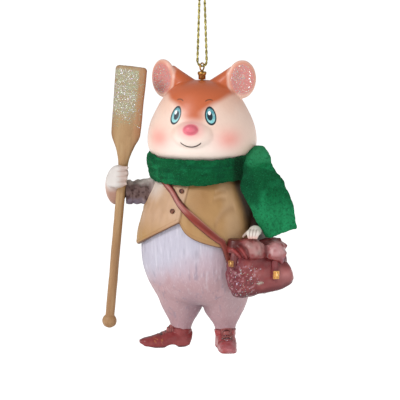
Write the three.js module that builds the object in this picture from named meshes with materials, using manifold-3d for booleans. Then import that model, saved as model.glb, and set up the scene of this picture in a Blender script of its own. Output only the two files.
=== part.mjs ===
// A hanging resin rat ornament: painted castings glued together, a felt scarf, and a loop of gold cord.
// Millimetres, +Z up. The figure faces -Y, and its own left is +X.
// The origin is the point where a hook carries the loop. The figure is drawn from its soles up,
// and the whole of it is then lowered until the loop's carrying point lies at the origin.

import * as THREE from "three";
import Module from "manifold-3d";

const wasm = await Module();
wasm.setup();

// The glue line between castings, and the free gap between loose pieces.
const GAP = 0.3;

// The trunk under the clothes: half width, reach to the front and reach to the back at each height.
const TRUNK = [
  { height: 15.8, side: 10.4, front: 7.6, back: 7.6 },
  { height: 17.2, side: 13.8, front: 10.4, back: 10 },
  { height: 20.4, side: 16.2, front: 12.8, back: 13 },
  { height: 25, side: 18.3, front: 14.8, back: 15.2 },
  { height: 31, side: 19.3, front: 16.2, back: 16.5 },
  { height: 38, side: 19.1, front: 16.6, back: 16.4 },
  { height: 44, side: 17.8, front: 15.8, back: 15.4 },
  { height: 50, side: 15.4, front: 13.8, back: 13.5 },
  { height: 54, side: 13.3, front: 12, back: 11.8 },
  { height: 57.5, side: 10.6, front: 9.8, back: 9.4 },
  { height: 61, side: 8.8, front: 8.4, back: 8.4 },
];
const NECK_TOP = TRUNK[TRUNK.length - 1].height;
const NECK_PEG_RADIUS = 4;
const NECK_PEG_LENGTH = 4;

// The legs: how far each stands out from their middle, and its own reaches.
const LEG = [
  { height: 3.6, out: 7.2, side: 2.8, front: 2.8, back: 2.8 },
  { height: 6.8, out: 7.2, side: 3.3, front: 3.4, back: 3.4 },
  { height: 8.7, out: 7.1, side: 3.9, front: 4, back: 4 },
  { height: 10.7, out: 7.1, side: 4.7, front: 4.8, back: 4.7 },
  { height: 13, out: 7, side: 5.9, front: 6, back: 5.8 },
  { height: 16.5, out: 7.1, side: 7, front: 8, back: 7.8 },
  { height: 21, out: 7.3, side: 8.6, front: 11, back: 10.4 },
];
const LEGS_MIDDLE = 0.6;
// The trousers end in a flat joint that the waistcoat hides.
const WAIST_JOINT = 45;

// The waistcoat: its wall, its flare at the hem, and the hem's height round the body.
const WAISTCOAT_WALL = 1;
const HEM_FLARE = 0.3;
const HEM_NOTCH = 43.1;
const HEM_NOTCH_ANGLE = -11;
const HEM_SIDE = 34.4;
const HEM_SIDE_ANGLE = 58;
const COLLAR_HEIGHT = 54.5;

// The shoes, along the foot from the heel: half width, top and underside of each section.
const SOLE_HEIGHT = 0.8;
const SHOE = [
  { along: -3.5, half: 1.8, top: 3.6, under: 1 },
  { along: -3, half: 2.9, top: 5.9, under: 0 },
  { along: -0.8, half: 3.5, top: 6.6, under: 0 },
  { along: 1.6, half: 3.4, top: 6.4, under: 0 },
  { along: 2.4, half: 3.2, top: 6, under: 0.8 },
  { along: 4.6, half: 3, top: 5.3, under: 0.8 },
  { along: 6, half: 3.1, top: 4.8, under: 0 },
  { along: 9.4, half: 2.8, top: 3.8, under: 0.1 },
  { along: 11.8, half: 2.2, top: 3.3, under: 0.8 },
  { along: 13.6, half: 1, top: 2.7, under: 1.6 },
];
const RIGHT_FOOT_TURN = -64;
const LEFT_FOOT_TURN = 17;

// The head, by height above its own flat base.
const HEAD = [
  { height: 0, side: 12, front: 11, back: 10.4 },
  { height: 2.2, side: 16, front: 14.4, back: 13.8 },
  { height: 4.6, side: 17.2, front: 15.6, back: 15.2 },
  { height: 7.6, side: 17.2, front: 15.9, back: 15.5 },
  { height: 11.4, side: 16.4, front: 15.4, back: 15 },
  { height: 15.4, side: 14.6, front: 13.9, back: 13.6 },
  { height: 19.4, side: 12.2, front: 12, back: 11.6 },
  { height: 22.6, side: 9.2, front: 9.4, back: 8.8 },
  { height: 24.3, side: 5.8, front: 6, back: 5.8 },
  { height: 24.8, side: 2.4, front: 2.4, back: 2.4 },
];
const HEAD_BASE = NECK_TOP + GAP;
const HEAD_TOP = HEAD_BASE + HEAD[HEAD.length - 1].height;
const MUZZLE = { rise: 8.8, forward: 12.6, wide: 7.2, deep: 5.2, tall: 4.8 };
const NOSE = { rise: 11, forward: 17.6, wide: 2, deep: 1.5, tall: 1.3 };
const EAR = { out: 12.5, rise: 25.2, back: 0.6, wide: 4.8, thick: 1.5, tall: 6.1, turn: 28, lean: 3 };
const EAR_DISH_DEPTH = 1;
const EAR_RIM = 1;
// The web that joins each ear to the crown, from the skull outwards.
const EAR_ROOT = [
  { out: 4, rise: 21.2, radius: 4 },
  { out: 8.4, rise: 25.2, radius: 3 },
  { out: 10.8, rise: 28.2, radius: 1.9 },
];

// The oar: a round shaft with a knob at the foot and a flat blade at the head.
const OAR_OUT = 29;
const OAR_FORWARD = 6.5;
const OAR_RISE = 7.1;
const OAR_TILT = 5.4;
const OAR_LENGTH = 84.3;
const SHAFT_RADIUS = 1.45;
const KNOB_RADIUS = 2.3;
const BLADE_LENGTH = 22.2;
const BLADE_SHOULDER = 9.4;
const BLADE_TOP_HALF = 5;
const BLADE_LOW_HALF = 4.6;
const BLADE_THICKNESS = 1.9;
const BLADE_CORNER = 1.2;

// The right arm reaches out to the oar. The palm lies behind the shaft at one height, and beside it.
const RIGHT_GRIP_HEIGHT = 52.6;
const RIGHT_PALM_ASIDE = -2.1;
const RIGHT_PALM_BEHIND = 2.2;
const RIGHT_PALM_REACH = [3.7, 3, 6.3];
const RIGHT_FINGER_RADIUS = 1.05;
const RIGHT_FINGER_RISES = [1, 2.8, 4.5, 6.1];
const RIGHT_ARM = [
  { at: [-8, 0.5, 50.6], radius: 4.6 },
  { at: [-13, -0.4, 50.8], radius: 4.6 },
  { at: [-18, -1.8, 50.6], radius: 4.1 },
];
const RIGHT_WRIST = { fromPalm: [2.8, 0.7, -2.2], radius: 3.5 };

// The satchel, in its own frame: x along its width, -y out of its front, z up.
const SATCHEL_OUT = 21;
const SATCHEL_FORWARD = 12.2;
const SATCHEL_RISE = 28.4;
const SATCHEL_TURN = 26;
const SATCHEL_ROLL = 3;
const SATCHEL = [
  { height: -8.6, middle: 0, side: 7.8, front: 2, back: 2 },
  { height: -7.8, middle: 0, side: 9.5, front: 3.5, back: 3.2 },
  { height: -4.6, middle: 0, side: 10.5, front: 4.5, back: 3.7 },
  { height: -0.5, middle: -0.4, side: 10.1, front: 4.4, back: 3.7 },
  { height: 2.6, middle: -1.1, side: 9.1, front: 3.9, back: 3.5 },
  { height: 5.4, middle: -1.7, side: 8.2, front: 3, back: 3 },
  { height: 7.4, middle: -2, side: 7.6, front: 1.9, back: 2.1 },
];
// The bottom of the bag sweeps up towards its outer end.
const SATCHEL_SWEEP = 4.6;
const FLAP_WALL = 0.9;
const FLAP_EDGE = 2.8;
const FLAP_SEAM = 6.2;
// At the near end the flap's edge slopes up, and leaves room for the closing tab there.
const FLAP_SLOPE = { from: -5.2, to: -9.2, rise: 2.8 };
const FLAP_PUFFS = [-3.6, 4.2];
const PUFF_REACH = { x: 3.9, y: 4.6, z: 3.6 };
// Each closing tab hangs on a side of the bag, turned from its front by some degrees towards the near end,
// and its buckle sits a drop below its top.
const TABS = [
  { turn: 45, aside: -4.8, top: 4.7, length: 4.3, drop: 2.4, buckle: { width: 2.2, height: 2.2 } },
  { turn: 0, aside: 3.4, top: 2.5, length: 6.4, drop: 3.2, buckle: { width: 2.4, height: 2.9 } },
];
const TAB_WIDTH = 1.9;
const TAB_THICKNESS = 0.6;
const BUCKLE_BAR = 0.5;
const BUCKLE_THICKNESS = 0.6;
const STRAP_WIDTH = 2.6;
const STRAP_THICKNESS = 0.8;
// Where the strap lies on the body: degrees round from the front, towards the figure's left, and height.
const STRAP_LIE = [
  { angle: 30, height: 37.4 },
  { angle: 10, height: 42.8 },
  { angle: -12, height: 48.6 },
  { angle: -31, height: 53.2 },
  { angle: -62, height: 56.2 },
  { angle: -95, height: 56.8 },
  { angle: -130, height: 55 },
  { angle: -160, height: 50.5 },
  { angle: -190, height: 45 },
  { angle: -222, height: 40.2 },
  { angle: -250, height: 37.4 },
];

// The left arm comes down from the shoulder to a palm that rests on the bag.
const LEFT_PALM_FROM_BAG = [-1.6, -1, 12.7];
const LEFT_PALM_REACH = [2.6, 3, 2.1];
const LEFT_FINGER_RADIUS = 0.8;
const LEFT_FINGER_SPACING = 1.3;
const FINGERS_ON_SATCHEL = 4;
const LEFT_ARM = [
  { at: [8, 0.5, 51.2], radius: 4.2 },
  { at: [14.2, 0.4, 51], radius: 4.2 },
  { at: [18.4, -1, 47.4], radius: 3.9 },
];
const LEFT_FOREARM = [
  { fromPalm: [-0.1, 8.8, 2.9], radius: 3.4 },
  { fromPalm: [-0.2, 4.6, 0.7], radius: 2.9 },
  { fromPalm: [-0.4, 2.2, 0.1], radius: 2.7 },
];

// The buttons, placed on the waistcoat as the strap is.
const BUTTONS = [
  { name: "upper_button", angle: -13, height: 52.3 },
  { name: "lower_button", angle: -20, height: 46.4 },
];
const BUTTON_RADIUS = 0.95;
const BUTTON_HEIGHT = 0.7;

// The tail, from the seat of the trousers.
const TAIL = [
  { at: [0, 12.8, 22.4], radius: 1.7 },
  { at: [-2.4, 16.6, 19.6], radius: 1.5 },
  { at: [-5.8, 17.6, 15.4], radius: 1.25 },
  { at: [-8.4, 15.6, 11.4], radius: 1 },
  { at: [-8.6, 12.4, 9], radius: 0.7 },
  { at: [-6.8, 10.2, 9.2], radius: 0.4 },
];

// The scarf: felt wrapped once round the neck, folded over the left shoulder, with one end hanging.
const SCARF_FRONT_DROP = 2;
const SCARF_BACK_DROP = 1.4;
const SCARF_BAND = 9.2;
const SCARF_THICKNESS = 2.5;
const SCARF_REACH = { side: 17.1, front: 16.4, back: 15.6 };
const SCARF_LEAN = 0.6;
const SCARF_FOLD = [
  { at: [13.6, 4.6, NECK_TOP - 0.4], across: [0.1, 0.1, 1], half: 3.6 },
  { at: [16, 0.4, NECK_TOP + 0.2], across: [0.4, 0.25, 0.9], half: 3.8 },
  { at: [17.4, -4, NECK_TOP + 0.5], across: [0.72, 0.3, 0.68], half: 4.5 },
  { at: [18.4, -7.4, NECK_TOP - 0.6], across: [0.92, 0.22, 0.36], half: 5.2 },
];
const SCARF_END = [
  { at: [18.9, -7.9, NECK_TOP - 1.8], half: 5.4 },
  { at: [20.7, -8.6, NECK_TOP - 5.6], half: 5.9 },
  { at: [22.8, -9.3, NECK_TOP - 10], half: 6.6 },
  { at: [24.8, -9.9, NECK_TOP - 14.4], half: 6.3 },
  { at: [27, -10.2, NECK_TOP - 21], half: 5.1 },
];
const SCARF_END_ACROSS = [0.93, 0.22, 0.31];
const SCARF_CROWN = 1.2;

// The hanger: a brass cap, a screw eye through it, and a cord through the eye, tied in a knot above.
const CAP_RADIUS = 1.15;
const CAP_RIM_RADIUS = 1.4;
const CAP_HEIGHT = 2.5;
const CAP_RIM_HEIGHT = 1.1;
const EYE_WIRE_RADIUS = 0.25;
const EYE_HOLE_RADIUS = 0.92;
const SHANK_RADIUS = 0.5;
const SHANK_LENGTH = 9;
const EYE_TURN = -20;
const CORD_RADIUS = 0.42;
const CORD_BEND = 1.7;
const LOOP_HEIGHT = 26.5;
const LOOP_TOP_SPREAD = 0.75;
const KNOT_RADIUS = 1.35;
const KNOT_HEIGHT = 2.8;
const CORD_END_LENGTH = 4;

const CAP_FOOT = HEAD_TOP + GAP;
const EYE_CENTRE = CAP_FOOT + CAP_HEIGHT + EYE_HOLE_RADIUS + 2 * EYE_WIRE_RADIUS;
const CORD_LOW = EYE_CENTRE + EYE_HOLE_RADIUS - GAP - CORD_RADIUS;
const HOOK_HEIGHT = CORD_LOW + LOOP_HEIGHT;

const TURN = 2 * Math.PI;
const radians = THREE.MathUtils.degToRad;
const point = (x, y, z) => new THREE.Vector3(x, y, z);

// A closed solid from points and triangles, with its faces turned outwards.
function solid(points, triangles) {
  const volume = triangles.reduce(
    (sum, [a, b, c]) => sum + points[a].dot(points[b].clone().cross(points[c])),
    0,
  );
  const facing = volume < 0 ? triangles.map(([a, b, c]) => [a, c, b]) : triangles;
  const mesh = new wasm.Mesh({
    numProp: 3,
    vertProperties: new Float32Array(points.flatMap((p) => [p.x, p.y, p.z])),
    triVerts: new Uint32Array(facing.flat()),
  });
  return new wasm.Manifold(mesh);
}

function centreOf(ring) {
  const sum = ring.reduce((total, p) => total.add(p), point(0, 0, 0));
  return sum.divideScalar(ring.length);
}

// Triangles between two neighbouring rings of a list, each ring holding the same number of points.
function between(first, second, columns) {
  const triangles = [];
  for (let j = 0; j < columns; j++) {
    const next = (j + 1) % columns;
    triangles.push([first + j, second + j, second + next]);
    triangles.push([first + j, second + next, first + next]);
  }
  return triangles;
}

// A solid through a stack of rings, closed at both ends.
function stack(rings) {
  const columns = rings[0].length;
  const points = [...rings.flat(), centreOf(rings[0]), centreOf(rings[rings.length - 1])];
  const [low, high] = [points.length - 2, points.length - 1];
  const top = (rings.length - 1) * columns;
  const triangles = [];
  for (let i = 0; i < rings.length - 1; i++) {
    triangles.push(...between(i * columns, (i + 1) * columns, columns));
  }
  for (let j = 0; j < columns; j++) {
    const next = (j + 1) % columns;
    triangles.push([low, j, next], [high, top + next, top + j]);
  }
  return solid(points, triangles);
}

// A solid through rings that run round and meet the first again.
function hoop(rings) {
  const columns = rings[0].length;
  const triangles = rings.flatMap((ring, i) =>
    between(i * columns, ((i + 1) % rings.length) * columns, columns),
  );
  return solid(rings.flat(), triangles);
}

// The sizes of a list at one place along it, eased from each entry to the next.
function along(list, key, place) {
  const last = list.length - 1;
  const found = list.findIndex((entry) => entry[key] > place);
  const i = Math.max(0, (found < 0 ? last : found) - 1);
  const [before, a, b, after] = [-1, 0, 1, 2].map(
    (step) => list[THREE.MathUtils.clamp(i + step, 0, last)],
  );
  const span = b[key] - a[key];
  const t = THREE.MathUtils.clamp((place - a[key]) / span, 0, 1);
  const sizes = {};
  for (const name of Object.keys(a)) {
    const slopeA = ((b[name] - before[name]) / (b[key] - before[key])) * span;
    const slopeB = ((after[name] - a[name]) / (after[key] - a[key])) * span;
    sizes[name] =
      (2 * t ** 3 - 3 * t ** 2 + 1) * a[name] +
      (t ** 3 - 2 * t ** 2 + t) * slopeA +
      (3 * t ** 2 - 2 * t ** 3) * b[name] +
      (t ** 3 - t ** 2) * slopeB;
  }
  sizes[key] = place;
  return sizes;
}

// Evenly spaced numbers from low to high.
function spaced(low, high, steps) {
  return Array.from({ length: steps + 1 }, (_, i) => low + ((high - low) * i) / steps);
}

// A sine or cosine drawn towards a square corner: 2 is round, larger is squarer.
function squared(value, squareness) {
  return Math.sign(value) * Math.abs(value) ** (2 / squareness);
}

// The place on a level ring, by the angle round from the front towards the figure's left.
function onOval(size, angle, grow = 0, squareness = 2) {
  const [s, c] = [Math.sin(angle), Math.cos(angle)];
  const deep = (c > 0 ? size.front : size.back) + grow;
  return point(
    (size.side + grow) * squared(s, squareness),
    -deep * squared(c, squareness),
    size.height,
  );
}

function ovalRing(size, columns, grow = 0, squareness = 2) {
  return spaced(0, TURN, columns)
    .slice(0, -1)
    .map((angle) => onOval(size, angle, grow, squareness));
}

// A ball or an egg, with a reach along each axis.
function ball(at, reach, turn = new THREE.Euler(), columns = 16) {
  const shape = new THREE.SphereGeometry(1, columns, Math.round(columns * 0.6));
  const matrix = new THREE.Matrix4().compose(
    point(...at),
    new THREE.Quaternion().setFromEuler(turn),
    point(...reach),
  );
  return fromGeometry(shape, matrix);
}

// A three.js geometry as a solid, once its shared corners are joined.
function fromGeometry(geometry, matrix = new THREE.Matrix4()) {
  const flat = geometry.index ? geometry.toNonIndexed() : geometry;
  const position = flat.getAttribute("position");
  const corners = new Map();
  const points = [];
  const order = [];
  for (let i = 0; i < position.count; i++) {
    const corner = point(position.getX(i), position.getY(i), position.getZ(i));
    const name = corner.toArray().map((value) => Math.round(value * 1e4)).join();
    if (!corners.has(name)) {
      corners.set(name, points.length);
      points.push(corner.applyMatrix4(matrix));
    }
    order.push(corners.get(name));
  }
  const triangles = [];
  for (let i = 0; i < order.length; i += 3) {
    const [a, b, c] = order.slice(i, i + 3);
    if (a !== b && b !== c && c !== a) triangles.push([a, b, c]);
  }
  return solid(points, triangles);
}

// A round limb through places with a radius each. Its ends are flat.
function limb(stations, grow = 0, steps = 8, sides = 14) {
  const path = new THREE.CatmullRomCurve3(stations.map((station) => point(...station.at)));
  const rings = spaced(0, 1, steps).map((t) => {
    const centre = path.getPoint(t);
    const ahead = path.getTangent(t);
    const across = point(0, 1, 0).cross(ahead).normalize();
    if (Math.abs(ahead.y) > 0.9) across.set(1, 0, 0).cross(ahead).normalize();
    const up = ahead.clone().cross(across);
    const place = t * (stations.length - 1);
    const i = Math.min(Math.floor(place), stations.length - 2);
    const radius =
      THREE.MathUtils.lerp(stations[i].radius, stations[i + 1].radius, place - i) + grow;
    return spaced(0, TURN, sides)
      .slice(0, -1)
      .map((angle) =>
        centre
          .clone()
          .addScaledVector(across, radius * Math.cos(angle))
          .addScaledVector(up, radius * Math.sin(angle)),
      );
  });
  return stack(rings);
}

// A round bar between two places.
function bar(from, to, radius, sides = 16) {
  const [a, b] = [point(...from), point(...to)];
  const ahead = b.clone().sub(a);
  const shape = new THREE.CylinderGeometry(radius, radius, ahead.length(), sides);
  const matrix = new THREE.Matrix4().compose(
    a.clone().add(b).multiplyScalar(0.5),
    new THREE.Quaternion().setFromUnitVectors(point(0, 1, 0), ahead.normalize()),
    point(1, 1, 1),
  );
  return fromGeometry(shape, matrix);
}

function box(low, high, matrix) {
  const size = high.map((value, i) => value - low[i]);
  const shape = new THREE.BoxGeometry(...size);
  shape.translate(...low.map((value, i) => value + size[i] / 2));
  return fromGeometry(shape, matrix);
}

const joined = (...solids) => solids.reduce((sum, next) => sum.add(next));

// What is left of a piece once others are cut from it, without the crumbs that a cut can leave.
function cutBy(piece, ...cutters) {
  const left = cutters.reduce((rest, next) => rest.subtract(next), piece);
  const bodies = left.decompose();
  return bodies.reduce((most, body) => (body.volume() > most.volume() ? body : most));
}

// The trunk between two heights.
function trunk(low, high, grow = 0, steps = 9) {
  return stack(spaced(low, high, steps).map((h) => ovalRing(along(TRUNK, "height", h), 24, grow)));
}

function leg(side, grow = 0) {
  const heights = spaced(LEG[0].height, LEG[LEG.length - 1].height, 7);
  const rings = heights.map((height) => {
    const size = along(LEG, "height", height);
    return ovalRing(size, 14, grow).map((p) => p.setX(p.x + LEGS_MIDDLE + side * size.out));
  });
  return stack(rings);
}

const legs = (grow) => joined(leg(-1, grow), leg(1, grow));
const trousers = joined(trunk(TRUNK[0].height, WAIST_JOINT), legs(0));
const trousersRoom = joined(
  trunk(TRUNK[0].height - GAP, WAIST_JOINT + GAP, GAP),
  legs(GAP),
);

// The hem rises to a notch at the front and is level from the sides to the back.
function hemHeight(angle) {
  const fromNotch = angle - radians(HEM_NOTCH_ANGLE);
  const turned = Math.abs(Math.atan2(Math.sin(fromNotch), Math.cos(fromNotch)));
  const full = Math.sin(radians(HEM_SIDE_ANGLE));
  const share = turned > radians(HEM_SIDE_ANGLE) ? 1 : Math.sin(turned) / full;
  return THREE.MathUtils.lerp(HEM_NOTCH, HEM_SIDE, share);
}

// How far the waistcoat's outside stands off the trunk at a height.
function waistcoatStand(height) {
  const flare = THREE.MathUtils.smoothstep(WAIST_JOINT - height, 0, WAIST_JOINT - HEM_SIDE);
  const collar = THREE.MathUtils.smoothstep(height, COLLAR_HEIGHT, NECK_TOP);
  return (GAP + WAISTCOAT_WALL) * (1 - collar) + HEM_FLARE * flare;
}

function onWaistcoat(angle, height, stand = 0) {
  return onOval(along(TRUNK, "height", height), angle, waistcoatStand(height) + stand);
}

const WAISTCOAT_COLUMNS = 30;

function waistcoatRing(heightAt, standAt) {
  return spaced(0, TURN, WAISTCOAT_COLUMNS)
    .slice(0, -1)
    .map((angle) => {
      const height = heightAt(angle);
      return onOval(along(TRUNK, "height", height), angle, standAt(height));
    });
}

function waistcoatOutside(grow) {
  return spaced(0, 1, 8).map((t) =>
    waistcoatRing(
      (angle) => THREE.MathUtils.lerp(NECK_TOP, hemHeight(angle) - 2 * grow, t),
      (height) => waistcoatStand(height) + grow,
    ),
  );
}

// The chest casting: solid above the waist joint, and a skirt round the trousers below it.
function waistcoatShell() {
  const inside = spaced(0, 1, 3).map((t) =>
    waistcoatRing(
      (angle) => THREE.MathUtils.lerp(hemHeight(angle), WAIST_JOINT + GAP, t),
      () => GAP,
    ),
  );
  return stack([...waistcoatOutside(0), ...inside]);
}

// The room that the clothed chest takes up, for whatever lies against it.
const chestRoom = joined(stack(waistcoatOutside(GAP)), trunk(HEM_SIDE - GAP, NECK_TOP, GAP));

const neckPeg = (grow) =>
  bar([0, 0, NECK_TOP - 1], [0, 0, NECK_TOP + NECK_PEG_LENGTH + grow], NECK_PEG_RADIUS + grow, 14);

// The head: an egg with full cheeks, a short muzzle, a small nose and two dished ears.
function ear(side, grow = 0) {
  const at = [side * EAR.out, EAR.back, HEAD_BASE + EAR.rise];
  const turn = new THREE.Euler(0, radians(side * EAR.lean), radians(side * EAR.turn), "ZYX");
  const disc = ball(at, [EAR.wide + grow, EAR.thick + grow, EAR.tall + grow], turn, 14);
  const facing = point(0, -1, 0).applyEuler(turn);
  const dishAt = point(...at).addScaledVector(facing, EAR.thick);
  const dish = ball(
    dishAt.toArray(),
    [EAR.wide - EAR_RIM, EAR_DISH_DEPTH, EAR.tall - EAR_RIM],
    turn,
    12,
  );
  const root = limb(
    EAR_ROOT.map(({ out, rise, radius }) => ({
      at: [side * out, EAR.back, HEAD_BASE + rise],
      radius,
    })),
    grow,
    5,
    12,
  );
  return grow ? joined(disc, root) : cutBy(joined(disc, root), dish);
}

function headForm(grow = 0) {
  const top = HEAD[HEAD.length - 1].height;
  const skull = stack(
    spaced(0, top, 13).map((rise) => {
      const size = along(HEAD, "height", rise);
      size.height = HEAD_BASE + rise + (rise / top) * grow;
      return ovalRing(size, 26, grow);
    }),
  );
  const muzzle = ball(
    [0, -MUZZLE.forward, HEAD_BASE + MUZZLE.rise],
    [MUZZLE.wide + grow, MUZZLE.deep + grow, MUZZLE.tall + grow],
    undefined,
    14,
  );
  const nose = ball(
    [0, -NOSE.forward, HEAD_BASE + NOSE.rise],
    [NOSE.wide + grow, NOSE.deep + grow, NOSE.tall + grow],
    undefined,
    10,
  );
  return joined(skull, muzzle, nose, ear(-1, grow), ear(1, grow));
}

const headRoom = headForm(GAP).add(
  stack([
    ovalRing({ ...HEAD[0], height: HEAD_BASE - GAP }, 26, GAP),
    ovalRing({ ...HEAD[0], height: HEAD_BASE + GAP }, 26, GAP),
  ]),
);
const shank = (grow) =>
  bar([0, 0, HEAD_TOP + CAP_HEIGHT], [0, 0, HEAD_TOP - SHANK_LENGTH - grow], SHANK_RADIUS + grow, 12);
const head = cutBy(headForm(), neckPeg(GAP), shank(GAP));

const torso = joined(waistcoatShell(), neckPeg(0));

// The oar, along its own axis from the foot, then tilted into the paw.
const oarPlace = new THREE.Matrix4().compose(
  point(-OAR_OUT, -OAR_FORWARD, OAR_RISE),
  new THREE.Quaternion().setFromEuler(new THREE.Euler(0, radians(OAR_TILT), 0)),
  point(1, 1, 1),
);

function oarForm() {
  const bladeFoot = OAR_LENGTH - BLADE_LENGTH;
  const outline = new THREE.Shape();
  outline.moveTo(0, bladeFoot - BLADE_SHOULDER);
  outline.lineTo(SHAFT_RADIUS, bladeFoot - BLADE_SHOULDER);
  outline.quadraticCurveTo(BLADE_LOW_HALF * 0.55, bladeFoot - BLADE_SHOULDER / 2, BLADE_LOW_HALF, bladeFoot);
  outline.lineTo(BLADE_TOP_HALF, OAR_LENGTH - BLADE_CORNER);
  outline.quadraticCurveTo(BLADE_TOP_HALF, OAR_LENGTH, BLADE_TOP_HALF - BLADE_CORNER, OAR_LENGTH);
  outline.lineTo(BLADE_CORNER - BLADE_TOP_HALF, OAR_LENGTH);
  outline.quadraticCurveTo(-BLADE_TOP_HALF, OAR_LENGTH, -BLADE_TOP_HALF, OAR_LENGTH - BLADE_CORNER);
  outline.lineTo(-BLADE_LOW_HALF, bladeFoot);
  outline.quadraticCurveTo(
    -BLADE_LOW_HALF * 0.55,
    bladeFoot - BLADE_SHOULDER / 2,
    -SHAFT_RADIUS,
    bladeFoot - BLADE_SHOULDER,
  );
  outline.closePath();
  const blade = new THREE.ExtrudeGeometry(outline, {
    depth: BLADE_THICKNESS,
    bevelEnabled: false,
    curveSegments: 5,
  });
  blade.translate(0, 0, -BLADE_THICKNESS / 2);
  blade.rotateX(Math.PI / 2);
  const shaftTop = OAR_LENGTH - BLADE_LENGTH - BLADE_SHOULDER * 0.3;
  const shaft = bar([0, 0, KNOB_RADIUS], [0, 0, shaftTop], SHAFT_RADIUS);
  const knob = ball([0, 0, KNOB_RADIUS], [KNOB_RADIUS, KNOB_RADIUS, KNOB_RADIUS], undefined, 14);
  return joined(fromGeometry(blade), shaft, knob).transform(oarPlace.elements);
}

const oar = oarForm();
const shaftRoom = bar([0, 0, 0], [0, 0, OAR_LENGTH - BLADE_LENGTH - BLADE_SHOULDER], SHAFT_RADIUS + GAP)
  .transform(oarPlace.elements);
const bladeRoom = box(
  [-BLADE_TOP_HALF - GAP, -BLADE_THICKNESS / 2 - GAP, OAR_LENGTH - BLADE_LENGTH - BLADE_SHOULDER],
  [BLADE_TOP_HALF + GAP, BLADE_THICKNESS / 2 + GAP, OAR_LENGTH],
  oarPlace,
);

// Where the shaft's middle lies at a height.
function shaftAt(height) {
  const across = (height - OAR_RISE) * Math.tan(radians(OAR_TILT));
  return point(across - OAR_OUT, -OAR_FORWARD, height);
}

// A wrist or forearm's places, which follow the palm.
const fromPalm = (palm, stations) =>
  stations.map((station) => ({
    at: station.fromPalm.map((value, i) => value + palm.getComponent(i)),
    radius: station.radius,
  }));

// The paw round the oar: a palm behind the shaft, and fingers over its front.
const rightPalmAt = shaftAt(RIGHT_GRIP_HEIGHT).add(point(RIGHT_PALM_ASIDE, RIGHT_PALM_BEHIND, 0));

function rightFinger(rise) {
  const height = RIGHT_GRIP_HEIGHT + rise;
  const middle = shaftAt(height);
  const stand = SHAFT_RADIUS + GAP + RIGHT_FINGER_RADIUS;
  const stations = [
    [middle.x - stand - 1.4, middle.y + 1.8, height - 0.3],
    [middle.x - stand - 0.9, middle.y - 1, height],
    [middle.x - 1, middle.y - stand - 0.3, height],
    [middle.x + 1.9, middle.y - stand + 0.8, height + 0.2],
  ];
  const radii = [1, 1, 1, 0.5].map((share) => share * RIGHT_FINGER_RADIUS);
  return limb(stations.map((at, i) => ({ at, radius: radii[i] })), 0, 5, 8);
}

const rightPalm = (grow) =>
  ball(rightPalmAt.toArray(), RIGHT_PALM_REACH.map((reach) => reach + grow), undefined, 14);
const rightHand = cutBy(
  joined(rightPalm(0), ...RIGHT_FINGER_RISES.map(rightFinger)),
  shaftRoom,
  bladeRoom,
);

const rightSleeveForm = (grow) =>
  limb([...RIGHT_ARM, ...fromPalm(rightPalmAt, [RIGHT_WRIST])], grow, 6, 12);

// The satchel, in its own frame until it is hung at the hip.
const satchelPlace = new THREE.Matrix4().compose(
  point(SATCHEL_OUT, -SATCHEL_FORWARD, SATCHEL_RISE),
  new THREE.Quaternion().setFromEuler(
    new THREE.Euler(0, radians(SATCHEL_ROLL), radians(SATCHEL_TURN), "ZYX"),
  ),
  point(1, 1, 1),
);
const inPlace = (piece) => piece.transform(satchelPlace.elements);
const placeOf = (x, y, z) => point(x, y, z).applyMatrix4(satchelPlace);
const SATCHEL_SQUARENESS = 3.4;
const SATCHEL_LOW = SATCHEL[0].height;
const SATCHEL_HIGH = SATCHEL[SATCHEL.length - 1].height;

// How far the bottom of the bag has swept up at a place, and none of it above the middle.
function sweep(x, height) {
  const outward = THREE.MathUtils.clamp((x + SATCHEL[2].side) / (2 * SATCHEL[2].side), 0, 1);
  const down = Math.max(0, height / SATCHEL_LOW);
  return SATCHEL_SWEEP * outward ** 1.6 * down;
}

function satchelForm(grow = 0) {
  const rings = spaced(SATCHEL_LOW, SATCHEL_HIGH, 8).map((height) => {
    const size = along(SATCHEL, "height", height);
    const share = (height - SATCHEL_LOW) / (SATCHEL_HIGH - SATCHEL_LOW);
    size.height = height + (2 * share - 1) * grow;
    return ovalRing(size, 22, grow, SATCHEL_SQUARENESS).map((p) =>
      point(p.x + size.middle, p.y, p.z + sweep(p.x, height)),
    );
  });
  return stack(rings);
}

// The flap: a skin from the seam at the back over the top, puffed in two places, and part-way down the front.
function flapBulk(grow = 0) {
  const reach = [PUFF_REACH.x + grow, PUFF_REACH.y + grow, PUFF_REACH.z + grow];
  const puffs = FLAP_PUFFS.map((x) =>
    ball([x, -0.6, SATCHEL_HIGH - PUFF_REACH.z / 2], reach, undefined, 12),
  );
  return joined(satchelForm(GAP + FLAP_WALL + grow), ...puffs);
}

const FAR = 30;
function belowFlap(drop) {
  const { from, to, rise } = FLAP_SLOPE;
  const low = FLAP_EDGE - 1.2 * drop;
  const outline = [[-FAR, -FAR], [from, -FAR], [from, low], [to, low + rise], [-FAR, low + rise]];
  const slope = stack([FAR, -FAR].map((y) => outline.map(([x, z]) => point(x, y, z))));
  return joined(
    box([-FAR, -FAR, -FAR], [FAR, FAR, FLAP_EDGE - drop]),
    box([-FAR, FLAP_WALL + drop, -FAR], [FAR, FAR, FLAP_SEAM - drop]),
    slope,
  );
}
const flap = cutBy(
  inPlace(cutBy(flapBulk(), satchelForm(GAP), belowFlap(0))),
  chestRoom,
  trousersRoom,
);
const satchelRoom = inPlace(joined(cutBy(flapBulk(GAP), belowFlap(GAP)), satchelForm(GAP)));
const satchelBody = cutBy(inPlace(satchelForm()), chestRoom, trousersRoom);

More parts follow.
